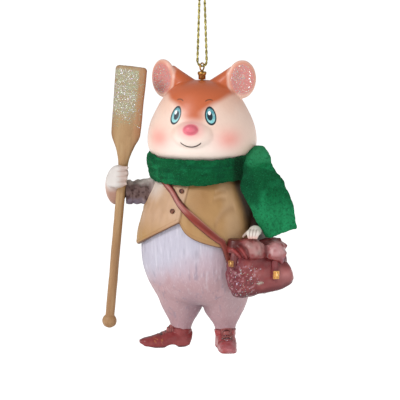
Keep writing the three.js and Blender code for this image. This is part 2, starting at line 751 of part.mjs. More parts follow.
// A closing tab down a side of the bag, and its buckle. How far out the bag reaches towards that side:
function reachAt({ turn, aside }, across, height) {
  const size = along(SATCHEL, "height", height);
  const [s, c] = [Math.sin(radians(turn)), Math.cos(radians(turn))];
  const within = (out) => {
    const x = (aside + across) * c - out * s - size.middle;
    const y = (aside + across) * s + out * c;
    const shares = [x / size.side, y / (y > 0 ? size.front : size.back)];
    return shares.reduce((sum, share) => sum + Math.abs(share) ** SATCHEL_SQUARENESS, 0) < 1;
  };
  let [near, far] = [2, 2 * size.side];
  for (let i = 0; i < 24; i++) {
    const middle = (near + far) / 2;
    if (within(middle)) near = middle;
    else far = middle;
  }
  return near;
}

// From a side's own frame to the bag's: x across the side, -y out of it.
const ontoSide = ({ turn, aside }) =>
  new THREE.Matrix4().makeRotationZ(radians(-turn)).multiply(new THREE.Matrix4().makeTranslation(aside, 0, 0));

function tab(place) {
  const halfWidth = TAB_WIDTH / 2;
  const matrix = ontoSide(place);
  const rings = spaced(place.top, place.top - place.length, 4).map((height) => {
    const edge = (stand) => (across) =>
      point(across, -reachAt(place, across, height) - stand, height).applyMatrix4(matrix);
    return [
      ...spaced(-halfWidth, halfWidth, 2).map(edge(GAP)),
      ...spaced(halfWidth, -halfWidth, 2).map(edge(GAP + TAB_THICKNESS)),
    ];
  });
  const strip = cutBy(stack(rings), satchelForm(GAP));
  return cutBy(inPlace(strip), chestRoom, trousersRoom, strapRoom);
}

function buckle(place) {
  const [halfWidth, halfHeight] = [place.buckle.width / 2, place.buckle.height / 2];
  const middle = place.top - place.drop;
  const outermost = Math.max(
    ...[-halfHeight, halfHeight].flatMap((rise) =>
      [-1, 0, 1].map((side) => reachAt(place, (side * TAB_WIDTH) / 2, middle + rise)),
    ),
  );
  const back = -outermost - 2 * GAP - TAB_THICKNESS;
  const front = back - BUCKLE_THICKNESS;
  const matrix = ontoSide(place);
  const frame = box(
    [-halfWidth, front, middle - halfHeight],
    [halfWidth, back, middle + halfHeight],
    matrix,
  );
  const windows = [-1, 1].map((side) => {
    const edges = [(side * BUCKLE_BAR) / 4, side * (halfWidth - BUCKLE_BAR)];
    return box(
      [Math.min(...edges), front - 1, middle - halfHeight + BUCKLE_BAR],
      [Math.max(...edges), back + 1, middle + halfHeight - BUCKLE_BAR],
      matrix,
    );
  });
  return inPlace(cutBy(frame, ...windows));
}

// The strap: from the bag's near end, over the far shoulder, across the back, and to its other end.
const strapStart = placeOf(SATCHEL[4].middle - SATCHEL[4].side, -0.6, SATCHEL[4].height);
const strapFinish = placeOf(SATCHEL[4].middle + SATCHEL[4].side, 0.6, SATCHEL[4].height);

function strapFrames() {
  const stand = GAP + STRAP_THICKNESS / 2 + 0.1;
  const drawn = new THREE.CatmullRomCurve3(STRAP_LIE.map((p) => point(p.angle, p.height, 0)));
  const lie = drawn.getPoints(30).map((p) => onWaistcoat(radians(p.x), p.y, stand));
  const path = new THREE.CatmullRomCurve3([strapStart, ...lie, strapFinish], false, "centripetal");
  return spaced(0, 1, 36).map((t) => {
    const at = path.getPointAt(t);
    const ahead = path.getTangentAt(t);
    const trunkSize = along(TRUNK, "height", at.z);
    const out = point(at.x / trunkSize.side, at.y / trunkSize.front, 0.35 * (at.z > 50));
    const across = ahead.clone().cross(out).normalize();
    return { at, across, out: across.clone().cross(ahead).normalize() };
  });
}

function ribbon(frames, halfAt, thickness, crown = 0, corners = 4) {
  const rings = frames.map(({ at, across, out }, i) => {
    const half = halfAt(i);
    const places = spaced(-1, 1, corners);
    const lift = (share) => crown * (1 - share ** 2);
    const lower = places.map((share) => [share * half, lift(share) - thickness / 2]);
    const upper = [...places].reverse().map((share) => [share * half, lift(share) + thickness / 2]);
    return [...lower, ...upper].map(([a, b]) =>
      at.clone().addScaledVector(across, a).addScaledVector(out, b),
    );
  });
  return stack(rings);
}

const strapBulk = (grow) =>
  ribbon(strapFrames(), () => STRAP_WIDTH / 2 + grow, STRAP_THICKNESS + 2 * grow, 0, 1);
const strap = cutBy(strapBulk(0), chestRoom, satchelRoom, trousersRoom);
const strapRoom = strapBulk(GAP);
const rightSleeve = cutBy(rightSleeveForm(0), chestRoom, rightPalm(GAP), shaftRoom, strapRoom);

// The left arm and the paw that rests on the bag.
const leftPalmAt = point(SATCHEL_OUT, -SATCHEL_FORWARD, SATCHEL_RISE).add(
  point(...LEFT_PALM_FROM_BAG),
);
const leftSleeveForm = (grow) =>
  limb([...LEFT_ARM, ...fromPalm(leftPalmAt, LEFT_FOREARM)], grow, 10, 12);

function leftFinger(index) {
  const across = (index - (FINGERS_ON_SATCHEL - 1) / 2) * LEFT_FINGER_SPACING;
  const [x, y, z] = leftPalmAt.toArray();
  const stations = [
    [x + across * 0.7, y - 1, z + 0.4],
    [x + across * 0.95, y - 3, z - 0.1],
    [x + across, y - 4.4, z - 1.8],
  ];
  const radii = [1, 1, 0.6].map((share) => share * LEFT_FINGER_RADIUS);
  return limb(stations.map((at, i) => ({ at, radius: radii[i] })), 0, 4, 7);
}

const leftPalm = (grow) =>
  ball(leftPalmAt.toArray(), LEFT_PALM_REACH.map((reach) => reach + grow), undefined, 12);
const leftFingers = Array.from({ length: FINGERS_ON_SATCHEL }, (_, i) => leftFinger(i));
const leftHand = cutBy(joined(leftPalm(0), ...leftFingers), satchelRoom, chestRoom, strapRoom);
const leftSleeve = cutBy(leftSleeveForm(0), chestRoom, leftPalm(GAP), satchelRoom, strapRoom);

// The scarf's band: rings of a flat oval section that leans out towards its top.
function bandRing(angle, grow) {
  const toFront = (1 + Math.cos(angle)) / 2;
  const height = NECK_TOP - THREE.MathUtils.lerp(SCARF_BACK_DROP, SCARF_FRONT_DROP, toFront);
  return spaced(0, TURN, 10)
    .slice(0, -1)
    .map((turn) => {
      const up = squared(Math.sin(turn), 3.2);
      const outward = squared(Math.cos(turn), 2.6);
      const stand =
        (outward - 1) * (SCARF_THICKNESS / 2) + up * SCARF_LEAN + outward * grow;
      const rise = up * (SCARF_BAND / 2 + grow);
      return onOval({ ...SCARF_REACH, height: height + rise }, angle, stand);
    });
}

const bandForm = (grow = 0) =>
  hoop(spaced(0, TURN, 30).slice(0, -1).map((angle) => bandRing(angle, grow)));

function framesOf(stations, steps) {
  const path = new THREE.CatmullRomCurve3(stations.map((station) => point(...station.at)));
  return spaced(0, 1, steps).map((t) => {
    const place = t * (stations.length - 1);
    const i = Math.min(Math.floor(place), stations.length - 2);
    const [a, b] = [stations[i], stations[i + 1]];
    const ahead = path.getTangent(t);
    const wide = point(...a.across).lerp(point(...b.across), place - i).normalize();
    const out = ahead.clone().cross(wide).normalize();
    return {
      at: path.getPoint(t),
      across: out.clone().cross(ahead).normalize(),
      out,
      half: THREE.MathUtils.lerp(a.half, b.half, place - i),
    };
  });
}

const endStations = SCARF_END.map((station) => ({ ...station, across: SCARF_END_ACROSS }));
const foldFrames = framesOf(SCARF_FOLD, 7);
const endFrames = framesOf(endStations, 8);
const foldForm = (grow) =>
  ribbon(foldFrames, (i) => foldFrames[i].half + grow, SCARF_THICKNESS + 2 * grow, 0.5, 5);
const scarfEndForm = ribbon(endFrames, (i) => endFrames[i].half, SCARF_THICKNESS, SCARF_CROWN, 5);
const armsRoom = joined(rightSleeveForm(GAP), leftSleeveForm(GAP));
const wrapForm = (grow) => joined(bandForm(grow), foldForm(grow));
const scarfWrap = cutBy(wrapForm(0), headRoom, chestRoom, strapRoom, armsRoom);
const scarfEnd = cutBy(
  scarfEndForm,
  wrapForm(GAP),
  armsRoom,
  leftPalm(GAP),
  satchelRoom,
  chestRoom,
  headRoom,
);

// A button: a low dome that lies on the waistcoat.
function button({ angle, height }) {
  const profile = [
    [0, 0],
    [BUTTON_RADIUS, 0],
    [BUTTON_RADIUS, BUTTON_HEIGHT * 0.45],
    [BUTTON_RADIUS * 0.7, BUTTON_HEIGHT * 0.85],
    [0, BUTTON_HEIGHT],
  ].map(([r, z]) => new THREE.Vector2(r, z));
  const turned = radians(angle);
  const at = onWaistcoat(turned, height, GAP);
  const side = onWaistcoat(turned + 0.05, height).sub(onWaistcoat(turned - 0.05, height));
  const rise = onWaistcoat(turned, height + 0.5).sub(onWaistcoat(turned, height - 0.5));
  const out = side.cross(rise).normalize();
  const matrix = new THREE.Matrix4().compose(
    at,
    new THREE.Quaternion().setFromUnitVectors(point(0, 1, 0), out),
    point(1, 1, 1),
  );
  return cutBy(fromGeometry(new THREE.LatheGeometry(profile, 14), matrix), chestRoom, strapRoom);
}

// A shoe: sections along the foot, flat below and round above.
function shoe(side, turn) {
  const rings = spaced(SHOE[0].along, SHOE[SHOE.length - 1].along, 13).map((place) => {
    const size = along(SHOE, "along", place);
    const middle = (size.top + size.under) / 2;
    return spaced(0, TURN, 14)
      .slice(0, -1)
      .map((angle) => {
        const up = Math.sin(angle) < 0 ? squared(Math.sin(angle), 6) : Math.sin(angle);
        const wide = squared(Math.cos(angle), Math.sin(angle) < 0 ? 4 : 2.2);
        const half = up * (size.top - middle);
        return point(wide * size.half, -place, Math.max(0, middle + half));
      });
  });
  const ankle = LEGS_MIDDLE + side * LEG[0].out;
  const matrix = new THREE.Matrix4().compose(
    point(ankle, 0, SOLE_HEIGHT),
    new THREE.Quaternion().setFromEuler(new THREE.Euler(0, 0, radians(turn))),
    point(1, 1, 1),
  );
  const socket = bar(
    [ankle, 0, LEG[0].height - GAP],
    [ankle, 0, LEG[1].height],
    LEG[0].side + GAP,
  );
  return cutBy(stack(rings).transform(matrix.elements), leg(side, GAP), socket);
}

// The tail, thin towards its tip.
const tail = cutBy(limb(TAIL, 0, 14, 10), trousersRoom);

// The hanger, made facing along X and then turned as the eye was left when it was screwed in.
function cap() {
  const hole = SHANK_RADIUS + GAP;
  const profile = [
    [hole, 0],
    [CAP_RADIUS, 0],
    [CAP_RADIUS, CAP_HEIGHT - CAP_RIM_HEIGHT],
    [CAP_RIM_RADIUS, CAP_HEIGHT - CAP_RIM_HEIGHT * 0.8],
    [CAP_RIM_RADIUS, CAP_HEIGHT - CAP_RIM_HEIGHT * 0.2],
    [CAP_RIM_RADIUS - CAP_RIM_HEIGHT * 0.2, CAP_HEIGHT],
    [hole, CAP_HEIGHT],
    [hole, 0],
  ].map(([r, z]) => new THREE.Vector2(r, z));
  const shape = new THREE.LatheGeometry(profile, 18);
  shape.rotateX(Math.PI / 2);
  return fromGeometry(shape, new THREE.Matrix4().makeTranslation(0, 0, CAP_FOOT));
}

function screwEye() {
  const ring = new THREE.TorusGeometry(EYE_HOLE_RADIUS + EYE_WIRE_RADIUS, EYE_WIRE_RADIUS, 6, 20);
  ring.rotateY(Math.PI / 2);
  const placed = fromGeometry(ring, new THREE.Matrix4().makeTranslation(0, 0, EYE_CENTRE));
  const low = EYE_CENTRE - EYE_HOLE_RADIUS - EYE_WIRE_RADIUS;
  const stem = bar([0, 0, HEAD_TOP - SHANK_LENGTH], [0, 0, low], SHANK_RADIUS, 12);
  return joined(placed, stem);
}

// One side of the loop, from its lowest point in the eye up to the knot.
const KNOT_FOOT = HOOK_HEIGHT + GAP;

function cordSide(side) {
  const bend = spaced(0, Math.PI / 2, 4).map((angle) =>
    point(side * CORD_BEND * Math.sin(angle), 0, CORD_LOW + CORD_BEND * (1 - Math.cos(angle))),
  );
  const straight = spaced(0.2, 1, 4).map((share) =>
    point(
      side * THREE.MathUtils.lerp(CORD_BEND, LOOP_TOP_SPREAD, share),
      0,
      THREE.MathUtils.lerp(CORD_LOW + CORD_BEND, KNOT_FOOT - GAP, share),
    ),
  );
  return [...bend, ...straight];
}

function cord() {
  const route = [...cordSide(-1).reverse(), ...cordSide(1).slice(1)];
  const path = new THREE.CatmullRomCurve3(route, false, "centripetal");
  const section = new THREE.Shape();
  section.absarc(0, 0, CORD_RADIUS, 0, TURN);
  const swept = { extrudePath: path, steps: 34, curveSegments: 4 };
  return fromGeometry(new THREE.ExtrudeGeometry(section, swept));
}

// The knot, with the two cord ends standing out of its top.
function knot() {
  const middle = KNOT_FOOT + KNOT_HEIGHT / 2;
  const body = ball([0, 0, middle], [KNOT_RADIUS, KNOT_RADIUS * 0.85, KNOT_HEIGHT / 2], undefined, 14);
  const ends = [-1, 1].map((side) =>
    bar(
      [side * CORD_RADIUS, 0, middle],
      [side * (CORD_RADIUS + 0.9), 0, KNOT_FOOT + KNOT_HEIGHT + CORD_END_LENGTH],
      CORD_RADIUS,
      8,
    ),
  );
  return joined(body, ...ends);
}

// Paints and materials.
function paint(name, colour, roughness, metalness = 0) {
  return new THREE.MeshStandardMaterial({ name, color: new THREE.Color(colour), roughness, metalness });
}

const PINK_PAINT = paint("flesh_paint", "#e8bfae", 0.45);
const RUSSET_PAINT = paint("russet_paint", "#c97c58", 0.45);
const TAN_PAINT = paint("waistcoat_paint", "#bf9869", 0.55);
const LILAC_PAINT = paint("trouser_paint", "#c7a9b4", 0.55);
const MAROON_PAINT = paint("leather_paint", "#84373b", 0.4);
const SHIRT_PAINT = paint("sleeve_paint", "#8b7478", 0.6);
const CREAM_PAINT = paint("paw_paint", "#e9e2da", 0.5);
const WOOD_PAINT = paint("oar_paint", "#b98f66", 0.55);
const BUTTON_PAINT = paint("button_paint", "#5b2a20", 0.4);
const GREEN_FELT = paint("green_felt", "#1f7a49", 0.95);
const GOLD_PAINT = paint("gold_paint", "#d99b3c", 0.3, 0.9);
const BRASS = paint("brass", "#b98a4c", 0.3, 1);
const GOLD_CORD = paint("gold_cord", "#a39a4a", 0.4, 0.7);

// A solid as a named three.js mesh.
function mesh(name, material, piece) {
  const { vertProperties, triVerts } = piece.getMesh();
  const geometry = new THREE.BufferGeometry();
  geometry.setAttribute("position", new THREE.BufferAttribute(new Float32Array(vertProperties), 3));
  geometry.setIndex(new THREE.BufferAttribute(new Uint32Array(triVerts), 1));
  geometry.computeVertexNormals();
  const made = new THREE.Mesh(geometry, material);
  made.name = name;
  return made;
}

const figure = new THREE.Group();
figure.name = "figure";
figure.add(
  mesh("head", RUSSET_PAINT, head),
  mesh("torso", TAN_PAINT, torso),
  mesh("trousers", LILAC_PAINT, trousers),
  mesh("right_shoe", MAROON_PAINT, shoe(-1, RIGHT_FOOT_TURN)),
  mesh("left_shoe", MAROON_PAINT, shoe(1, LEFT_FOOT_TURN)),
  mesh("right_sleeve", SHIRT_PAINT, rightSleeve),
  mesh("left_sleeve", SHIRT_PAINT, leftSleeve),
  mesh("right_hand", CREAM_PAINT, rightHand),
  mesh("left_hand", CREAM_PAINT, leftHand),
  mesh("oar", WOOD_PAINT, oar),
  mesh("tail", PINK_PAINT, tail),
  mesh("satchel_body", MAROON_PAINT, satchelBody),
  mesh("satchel_flap", MAROON_PAINT, flap),
  mesh("satchel_strap", MAROON_PAINT, strap),
  mesh("scarf_wrap", GREEN_FELT, scarfWrap),
  mesh("scarf_end", GREEN_FELT, scarfEnd),
);
for (const place of BUTTONS) figure.add(mesh(place.name, BUTTON_PAINT, button(place)));
TABS.forEach((place, i) => {
  figure.add(mesh(`closing_tab_${i + 1}`, MAROON_PAINT, tab(place)));
  figure.add(mesh(`buckle_${i + 1}`, GOLD_PAINT, buckle(place)));
});

const hanger = new THREE.Group();
hanger.name = "hanger";
hanger.rotation.z = radians(EYE_TURN);
hanger.add(
  mesh("hanger_cap", BRASS, cap()),
  mesh("hanger_eye", BRASS, screwEye()),
  mesh("hanger_cord", GOLD_CORD, cord()),
  mesh("cord_knot", GOLD_CORD, knot()),
);

const ornament = new THREE.Group();
ornament.add(figure, hanger);
ornament.position.z = -HOOK_HEIGHT;

export default ornament;
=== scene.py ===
"""A hanging resin rat ornament: painted castings, a felt scarf and a loop of twisted gold cord.

Sizes are in millimetres above the level of the soles, and row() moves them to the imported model's frame,
whose origin is the point where a hook carries the loop. The figure faces -Y, and its own left is +X.
"""

import bpy
import numpy as np
from mathutils import Matrix, Vector


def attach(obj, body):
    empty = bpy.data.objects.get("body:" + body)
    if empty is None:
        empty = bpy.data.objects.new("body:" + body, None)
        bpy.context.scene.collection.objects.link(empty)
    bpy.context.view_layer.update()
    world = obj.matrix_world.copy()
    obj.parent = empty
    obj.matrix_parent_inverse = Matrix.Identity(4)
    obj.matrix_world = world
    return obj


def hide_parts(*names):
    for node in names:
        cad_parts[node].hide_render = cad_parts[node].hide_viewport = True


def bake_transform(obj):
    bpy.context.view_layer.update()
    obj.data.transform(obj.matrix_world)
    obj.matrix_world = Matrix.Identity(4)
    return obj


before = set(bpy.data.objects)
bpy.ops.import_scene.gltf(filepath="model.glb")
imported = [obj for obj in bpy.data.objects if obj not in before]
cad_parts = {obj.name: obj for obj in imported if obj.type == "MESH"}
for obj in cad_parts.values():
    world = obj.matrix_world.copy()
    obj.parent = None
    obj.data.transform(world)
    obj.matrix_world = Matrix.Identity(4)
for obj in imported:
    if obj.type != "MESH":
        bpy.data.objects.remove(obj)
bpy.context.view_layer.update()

# The camera: the ornament is seen a little from its own left and from slightly above, with a long lens.
# It aims at the middle of the figure, and the loop runs out of the top of the view.
HOOK_HEIGHT = 117.02
CAMERA_ROUND = np.radians(12)
CAMERA_RAISE = np.radians(8)
CAMERA_BACK = 600
VIEW_HALF = 64
AIM_ASIDE = -0.64
AIM_RISE = 47.7
SENSOR = 36


def row(points):
    """Millimetres above the soles' level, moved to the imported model's frame in metres."""
    return (np.asarray(points, float) - (0, 0, HOOK_HEIGHT)) / 1000


def in_scene(name, data):
    """A new object in the scene."""
    made_object = bpy.data.objects.new(name, data)
    bpy.context.scene.collection.objects.link(made_object)
    return made_object


rightward = np.array([np.cos(CAMERA_ROUND), np.sin(CAMERA_ROUND), 0])
ahead = np.array([
    -np.sin(CAMERA_ROUND) * np.cos(CAMERA_RAISE),
    np.cos(CAMERA_ROUND) * np.cos(CAMERA_RAISE),
    -np.sin(CAMERA_RAISE),
])
upward = np.cross(rightward, ahead)
camera = in_scene("camera", bpy.data.cameras.new("camera"))
camera.data.sensor_width = SENSOR
camera.data.lens = SENSOR / 2 * CAMERA_BACK / VIEW_HALF
camera.data.clip_start = 0.01
turned = np.eye(4)
turned[:3, 0], turned[:3, 1], turned[:3, 2] = rightward, upward, -ahead
turned[:3, 3] = row(rightward * AIM_ASIDE + upward * AIM_RISE - ahead * CAMERA_BACK)
camera.matrix_world = Matrix(turned)
bpy.context.scene.camera = camera

# The hanging loop: a thin cord of two plies of gold foil thread, twisted together.
# It runs from its knot down through the brass eye and back, and its knot is just above the hook's point.
PLY_SIDES = 8
EYE_TURN = np.radians(-20)
CORD_LOW = 90.52
CORD_BEND = 1.7
CORD_RADIUS = 0.42
CORD_TOP = HOOK_HEIGHT
LOOP_TOP_SPREAD = 0.75
PLY_RADIUS = 0.225
PLY_OFFSET = 0.2
PLY_PITCH = 3.8


def joined(*parts):
    """Rows, columns and single numbers joined into points, or into the corners of faces."""
    return np.stack(np.broadcast_arrays(*parts), -1)


def skin(rings, loop=False):
    """Points and faces of a closed skin through rings of points. A triangle repeats its last corner."""
    rings = np.asarray(rings, float)
    count, columns = rings.shape[:2]
    points = rings.reshape(-1, 3)
    i, j = np.meshgrid(np.arange(count if loop else count - 1), np.arange(columns), indexing="ij")
    after, beside = (i + 1) % count, (j + 1) % columns
    faces = joined(i * columns + j, i * columns + beside, after * columns + beside,
                   after * columns + j).reshape(-1, 4)
    if not loop:
        low, high, top = len(points), len(points) + 1, (count - 1) * columns
        points = np.vstack([points, rings[0].mean(0), rings[-1].mean(0)])
        k = np.arange(columns)
        after = (k + 1) % columns
        faces = np.vstack([faces, joined(after, k, low, low), joined(top + k, top + after, high, high)])
    a, b, c = points[faces[:, 0]], points[faces[:, 1]], points[faces[:, 2]]
    d = points[faces[:, 3]]
    volume = (a * np.cross(b, c)).sum() + (a * np.cross(c, d)).sum()
    return points, faces if volume > 0 else faces[:, ::-1]


def gathered(*skins):
    """Several skins as one list of points and one of faces."""
    starts = np.cumsum([0] + [len(points) for points, _ in skins[:-1]])
    return (np.vstack([points for points, _ in skins]),
            np.vstack([faces + start for (_, faces), start in zip(skins, starts)]))


def corners_of(faces):
    """Faces as lists, where a repeated corner makes a triangle."""
    for a, b, c, d in faces.tolist():
        if a == b:
            yield (b, c, d)
        elif c == d:
            yield (a, b, c)
        else:
            yield (a, b, c, d)


def piece(name, made, finish, stands_for, slot=None, body="figure", **painted_on):
    """A piece of the ornament as an object that rides on a body. painted_on holds its painted attributes.

    slot is not used.
    """
    points, faces = made
    mesh = bpy.data.meshes.new(name)
    mesh.from_pydata(row(points).tolist(), [], list(corners_of(faces)))
    mesh.shade_smooth()
    for layer, values in painted_on.items():
        if np.ndim(values) == 2:
            colours = np.hstack([values, np.ones((len(values), 1))])
            mesh.attributes.new(layer, "FLOAT_COLOR", "POINT").data.foreach_set("color", colours.ravel())
        else:
            mesh.attributes.new(layer, "FLOAT", "POINT").data.foreach_set("value", values)
    mesh.materials.append(finish)
    made_object = in_scene(name, mesh)
    if body:
        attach(made_object, body)
    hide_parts(stands_for)
    return made_object


def angles(count):
    """Angles in even steps round a circle."""
    return np.linspace(0, 2 * np.pi, count, endpoint=False)


def unit(vectors):
    """Vectors drawn to a length of 1."""
    return vectors / np.linalg.norm(vectors, axis=-1, keepdims=True)


def travelled_along(path):
    """How far along a path each of its points lies."""
    return np.concatenate([[0], np.cumsum(np.linalg.norm(np.diff(path, axis=0), axis=1))])


def framed(path):
    """Two ways across a path at each of its points, which turn with it as little as they can."""
    along = unit(np.gradient(path, axis=0))
    across = np.zeros_like(path)
    start = np.cross(along[0], (0, 1, 0) if abs(along[0][1]) < 0.9 else (1, 0, 0))
    for i, way in enumerate(along):
        start = unit(start - way * (start @ way))
        across[i] = start
    return across, np.cross(along, across)


def tube(path, radius, sides):
    """A round tube along a path, with a radius for each of its points."""
    path = np.asarray(path, float)
    across, lift = framed(path)
    angle = angles(sides)
    radius = np.broadcast_to(radius, len(path))[:, None, None]
    ring = across[:, None] * np.cos(angle)[None, :, None] + lift[:, None] * np.sin(angle)[None, :, None]
    return skin(path[:, None] + radius * ring)


def twisted(path):
    """Two plies wound round a path."""
    path = np.asarray(path, float)
    across, lift = framed(path)
    plies = []
    for ply in range(2):
        angle = 2 * np.pi * (travelled_along(path) / PLY_PITCH + ply / 2)
        offset = across * np.cos(angle)[:, None] + lift * np.sin(angle)[:, None]
        plies.append(tube(path + PLY_OFFSET * offset, PLY_RADIUS, PLY_SIDES))
    return gathered(*plies)


def in_eye_plane(across, height):
    """A point in the plane of the loop, which is turned as the screw eye was left."""
    return joined(across * np.cos(EYE_TURN), across * np.sin(EYE_TURN), height)


quarter = np.linspace(0, np.pi / 2, 16)
climb = np.linspace(0, 1, 140)[1:]
one_side = np.vstack([
    in_eye_plane(CORD_BEND * np.sin(quarter), CORD_LOW + CORD_BEND * (1 - np.cos(quarter))),
    in_eye_plane(CORD_BEND + (LOOP_TOP_SPREAD - CORD_BEND) * climb,
                 CORD_LOW + CORD_BEND + (CORD_TOP - CORD_LOW - CORD_BEND) * climb),
])
other_side = one_side * (-1, -1, 1)
cord_route = np.vstack([other_side[::-1], one_side[1:]])


def colour(code):
    """A colour from its usual six-figure code, as light."""
    values = np.array([int(code[i:i + 2], 16) for i in (0, 2, 4)]) / 255
    return np.where(values <= 0.04045, values / 12.92, ((values + 0.055) / 1.055) ** 2.4)


def feed(tree, socket, value):
    """A socket joined to another one, or set to a number, to a row of numbers or to a colour by its code."""
    if isinstance(value, bpy.types.NodeSocket):
        tree.links.new(value, socket)
    elif isinstance(value, str):
        socket.default_value = (*colour(value), 1.0)
    elif value is not None:
        socket.default_value = value


def put(tree, kind, *inputs, **settings):
    """A new shader node. Its inputs are sockets to join or values to set, in their order."""
    node = tree.nodes.new("ShaderNode" + kind)
    for setting, value in settings.items():
        setattr(node, setting, value)
    for socket, value in zip(node.inputs, inputs):
        feed(tree, socket, value)
    return node


def mixed(tree, share, low, high, way="MIX"):
    """Two colours mixed by a share."""
    node = put(tree, "Mix", data_type="RGBA", blend_type=way)
    for place, value in ((0, share), (6, low), (7, high)):
        feed(tree, node.inputs[place], value)
    return node.outputs[2]


def ranged(tree, value, low, high, to_low=0.0, to_high=1.0):
    """A number moved smoothly from one range to another."""
    return put(tree, "MapRange", value, low, high, to_low, to_high,
               interpolation_type="SMOOTHSTEP").outputs[0]


def stretched(tree, place, by):
    """A place in a shader, stretched along its axes."""
    return put(tree, "VectorMath", place, by, operation="MULTIPLY").outputs[0]


def new_finish(name, **settings):
    """A new material, with its shader's sockets set.

    Returns the material, its tree, its shader and the place on the object in millimetres.
    """
    material = bpy.data.materials.new(name)
    material.use_nodes = True
    tree = material.node_tree
    shader = tree.nodes["Principled BSDF"]
    for socket, value in settings.items():
        feed(tree, shader.inputs[socket.replace("_", " ").title().replace("Ior", "IOR")], value)
    place = put(tree, "TexCoord").outputs["Object"]
    return material, tree, shader, stretched(tree, place, (1000, 1000, 1000))


def noise(tree, place, scale, detail, roughness=0.55):
    """Cloudy noise from 0 to 1, with scale cells to a millimetre."""
    node = put(tree, "TexNoise", place)
    for socket, value in (("Scale", scale), ("Detail", detail), ("Roughness", roughness)):
        node.inputs[socket].default_value = value
    return node.outputs["Fac"]


def relief_of(tree, height, depth):
    """Relief for a finish: height from 0 to 1 over a depth in millimetres."""
    node = put(tree, "Bump", 1.0, depth / 1000)
    feed(tree, node.inputs["Height"], height)
    return node.outputs[0]


def laid_on(tree, shader, paint, height, depth):
    """A finish's colour laid on its shader, with its relief."""
    feed(tree, shader.inputs["Base Color"], paint)
    feed(tree, shader.inputs["Normal"], relief_of(tree, height, depth))


gold_thread, tree, shader, place = new_finish("gold_thread", metallic=0.85, roughness=0.3)
foil = ranged(tree, noise(tree, place, 3.2, 2), 0.42, 0.58)
laid_on(tree, shader, mixed(tree, foil, "4a4420", "d6c877"), noise(tree, place, 9, 2), 0.08)
loop = piece("loop_of_cord", twisted(cord_route), gold_thread, "hanger_cord", "gold_cord", "hanger")

# The knot of the loop: the two ends of the gold cord laid together and wound round twice. It is tied
# by hand just above the hook, and the short cut ends stand up out of it.
KNOT_FOOT = 117.32
KNOT_HEIGHT = 2.8
KNOT_TURNS = 2.4
KNOT_REACH = 0.9
CORD_END_LENGTH = 4
KNOT_FLATNESS = 0.8
CORD_END_OUT, CORD_END_SPREAD, CORD_END_DROP = 0.15, 0.75, 0.2
turn = np.linspace(0, 1, 90)
winding = joined(
    KNOT_REACH * np.cos(2 * np.pi * KNOT_TURNS * turn),
    KNOT_FLATNESS * KNOT_REACH * np.sin(2 * np.pi * KNOT_TURNS * turn),
    KNOT_FOOT + CORD_RADIUS + (KNOT_HEIGHT - 2 * CORD_RADIUS) * turn,
)
rise = np.linspace(0, 1, 40)
ends = [
    in_eye_plane(side * (CORD_RADIUS + CORD_END_OUT + CORD_END_SPREAD * rise ** 2),
                 KNOT_FOOT - CORD_END_DROP + (KNOT_HEIGHT + CORD_END_LENGTH) * rise)
    for side in (-1, 1)
]
knot = piece("knot", gathered(twisted(winding), *[twisted(end) for end in ends]), gold_thread,
             "cord_knot", "gold_cord", "hanger")

# The hanger: a small pressed cap of brass on the crown, and a brass screw eye driven through it
# into the head. The eye is left turned, so the loop hangs a little askew.
CAP_FOOT = 86.4
CAP_PROFILE = [(1.05, 0), (1.15, 0.12), (1.15, 1.25), (1.22, 1.42), (1.38, 1.55), (1.42, 1.75), (1.42, 2.1),
               (1.36, 2.3), (1.15, 2.45), (0.6, 2.5)]
EYE_CENTRE = 90.32
EYE_REACH = 1.17
EYE_WIRE = 0.25
STEM_RADIUS = 0.5
STEM_FOOT = 77.1


def spun(profile, columns=48):
    """A form turned about the vertical axis, from radius and height pairs."""
    angle = angles(columns)
    return skin([joined(r * np.cos(angle), r * np.sin(angle), z) for r, z in profile])


def turned_about(points, angle):
    """Points turned round the vertical axis."""
    c, s = np.cos(angle), np.sin(angle)
    return np.asarray(points) @ np.array([[c, s, 0], [-s, c, 0], [0, 0, 1]])


brass, tree, shader, place = new_finish("worn_brass", metallic=1.0, roughness=0.3)
tarnish = noise(tree, place, 1.6, 4)
laid_on(tree, shader, mixed(tree, ranged(tree, tarnish, 0.4, 0.68), "c99a55", "7a5428"),
        noise(tree, place, 4, 3), 0.03)
feed(tree, shader.inputs["Roughness"], ranged(tree, tarnish, 0.3, 0.7, 0.22, 0.5))
piece("cap_of_hanger", spun([(r, z + CAP_FOOT) for r, z in CAP_PROFILE]), brass, "hanger_cap", "brass")
circle, wire_section = angles(64)[:, None], angles(14)
reach = EYE_REACH + EYE_WIRE * np.cos(wire_section)
eye_ring = joined(EYE_WIRE * np.sin(wire_section), np.cos(circle) * reach,
                  np.sin(circle) * reach + EYE_CENTRE)
stem = tube([(0, 0, z) for z in np.linspace(STEM_FOOT, EYE_CENTRE - EYE_REACH, 12)], STEM_RADIUS, 20)
piece("screw_eye", gathered(skin(turned_about(eye_ring, EYE_TURN), loop=True), stem), brass,
      "hanger_eye", "brass")

# The head: one cast egg with full cheeks, a short muzzle and two dished ears, painted by hand.
# The face is a plain painted rodent face: upright eyes, a small pink nose and a short smile.
HEAD_BASE = 61.3
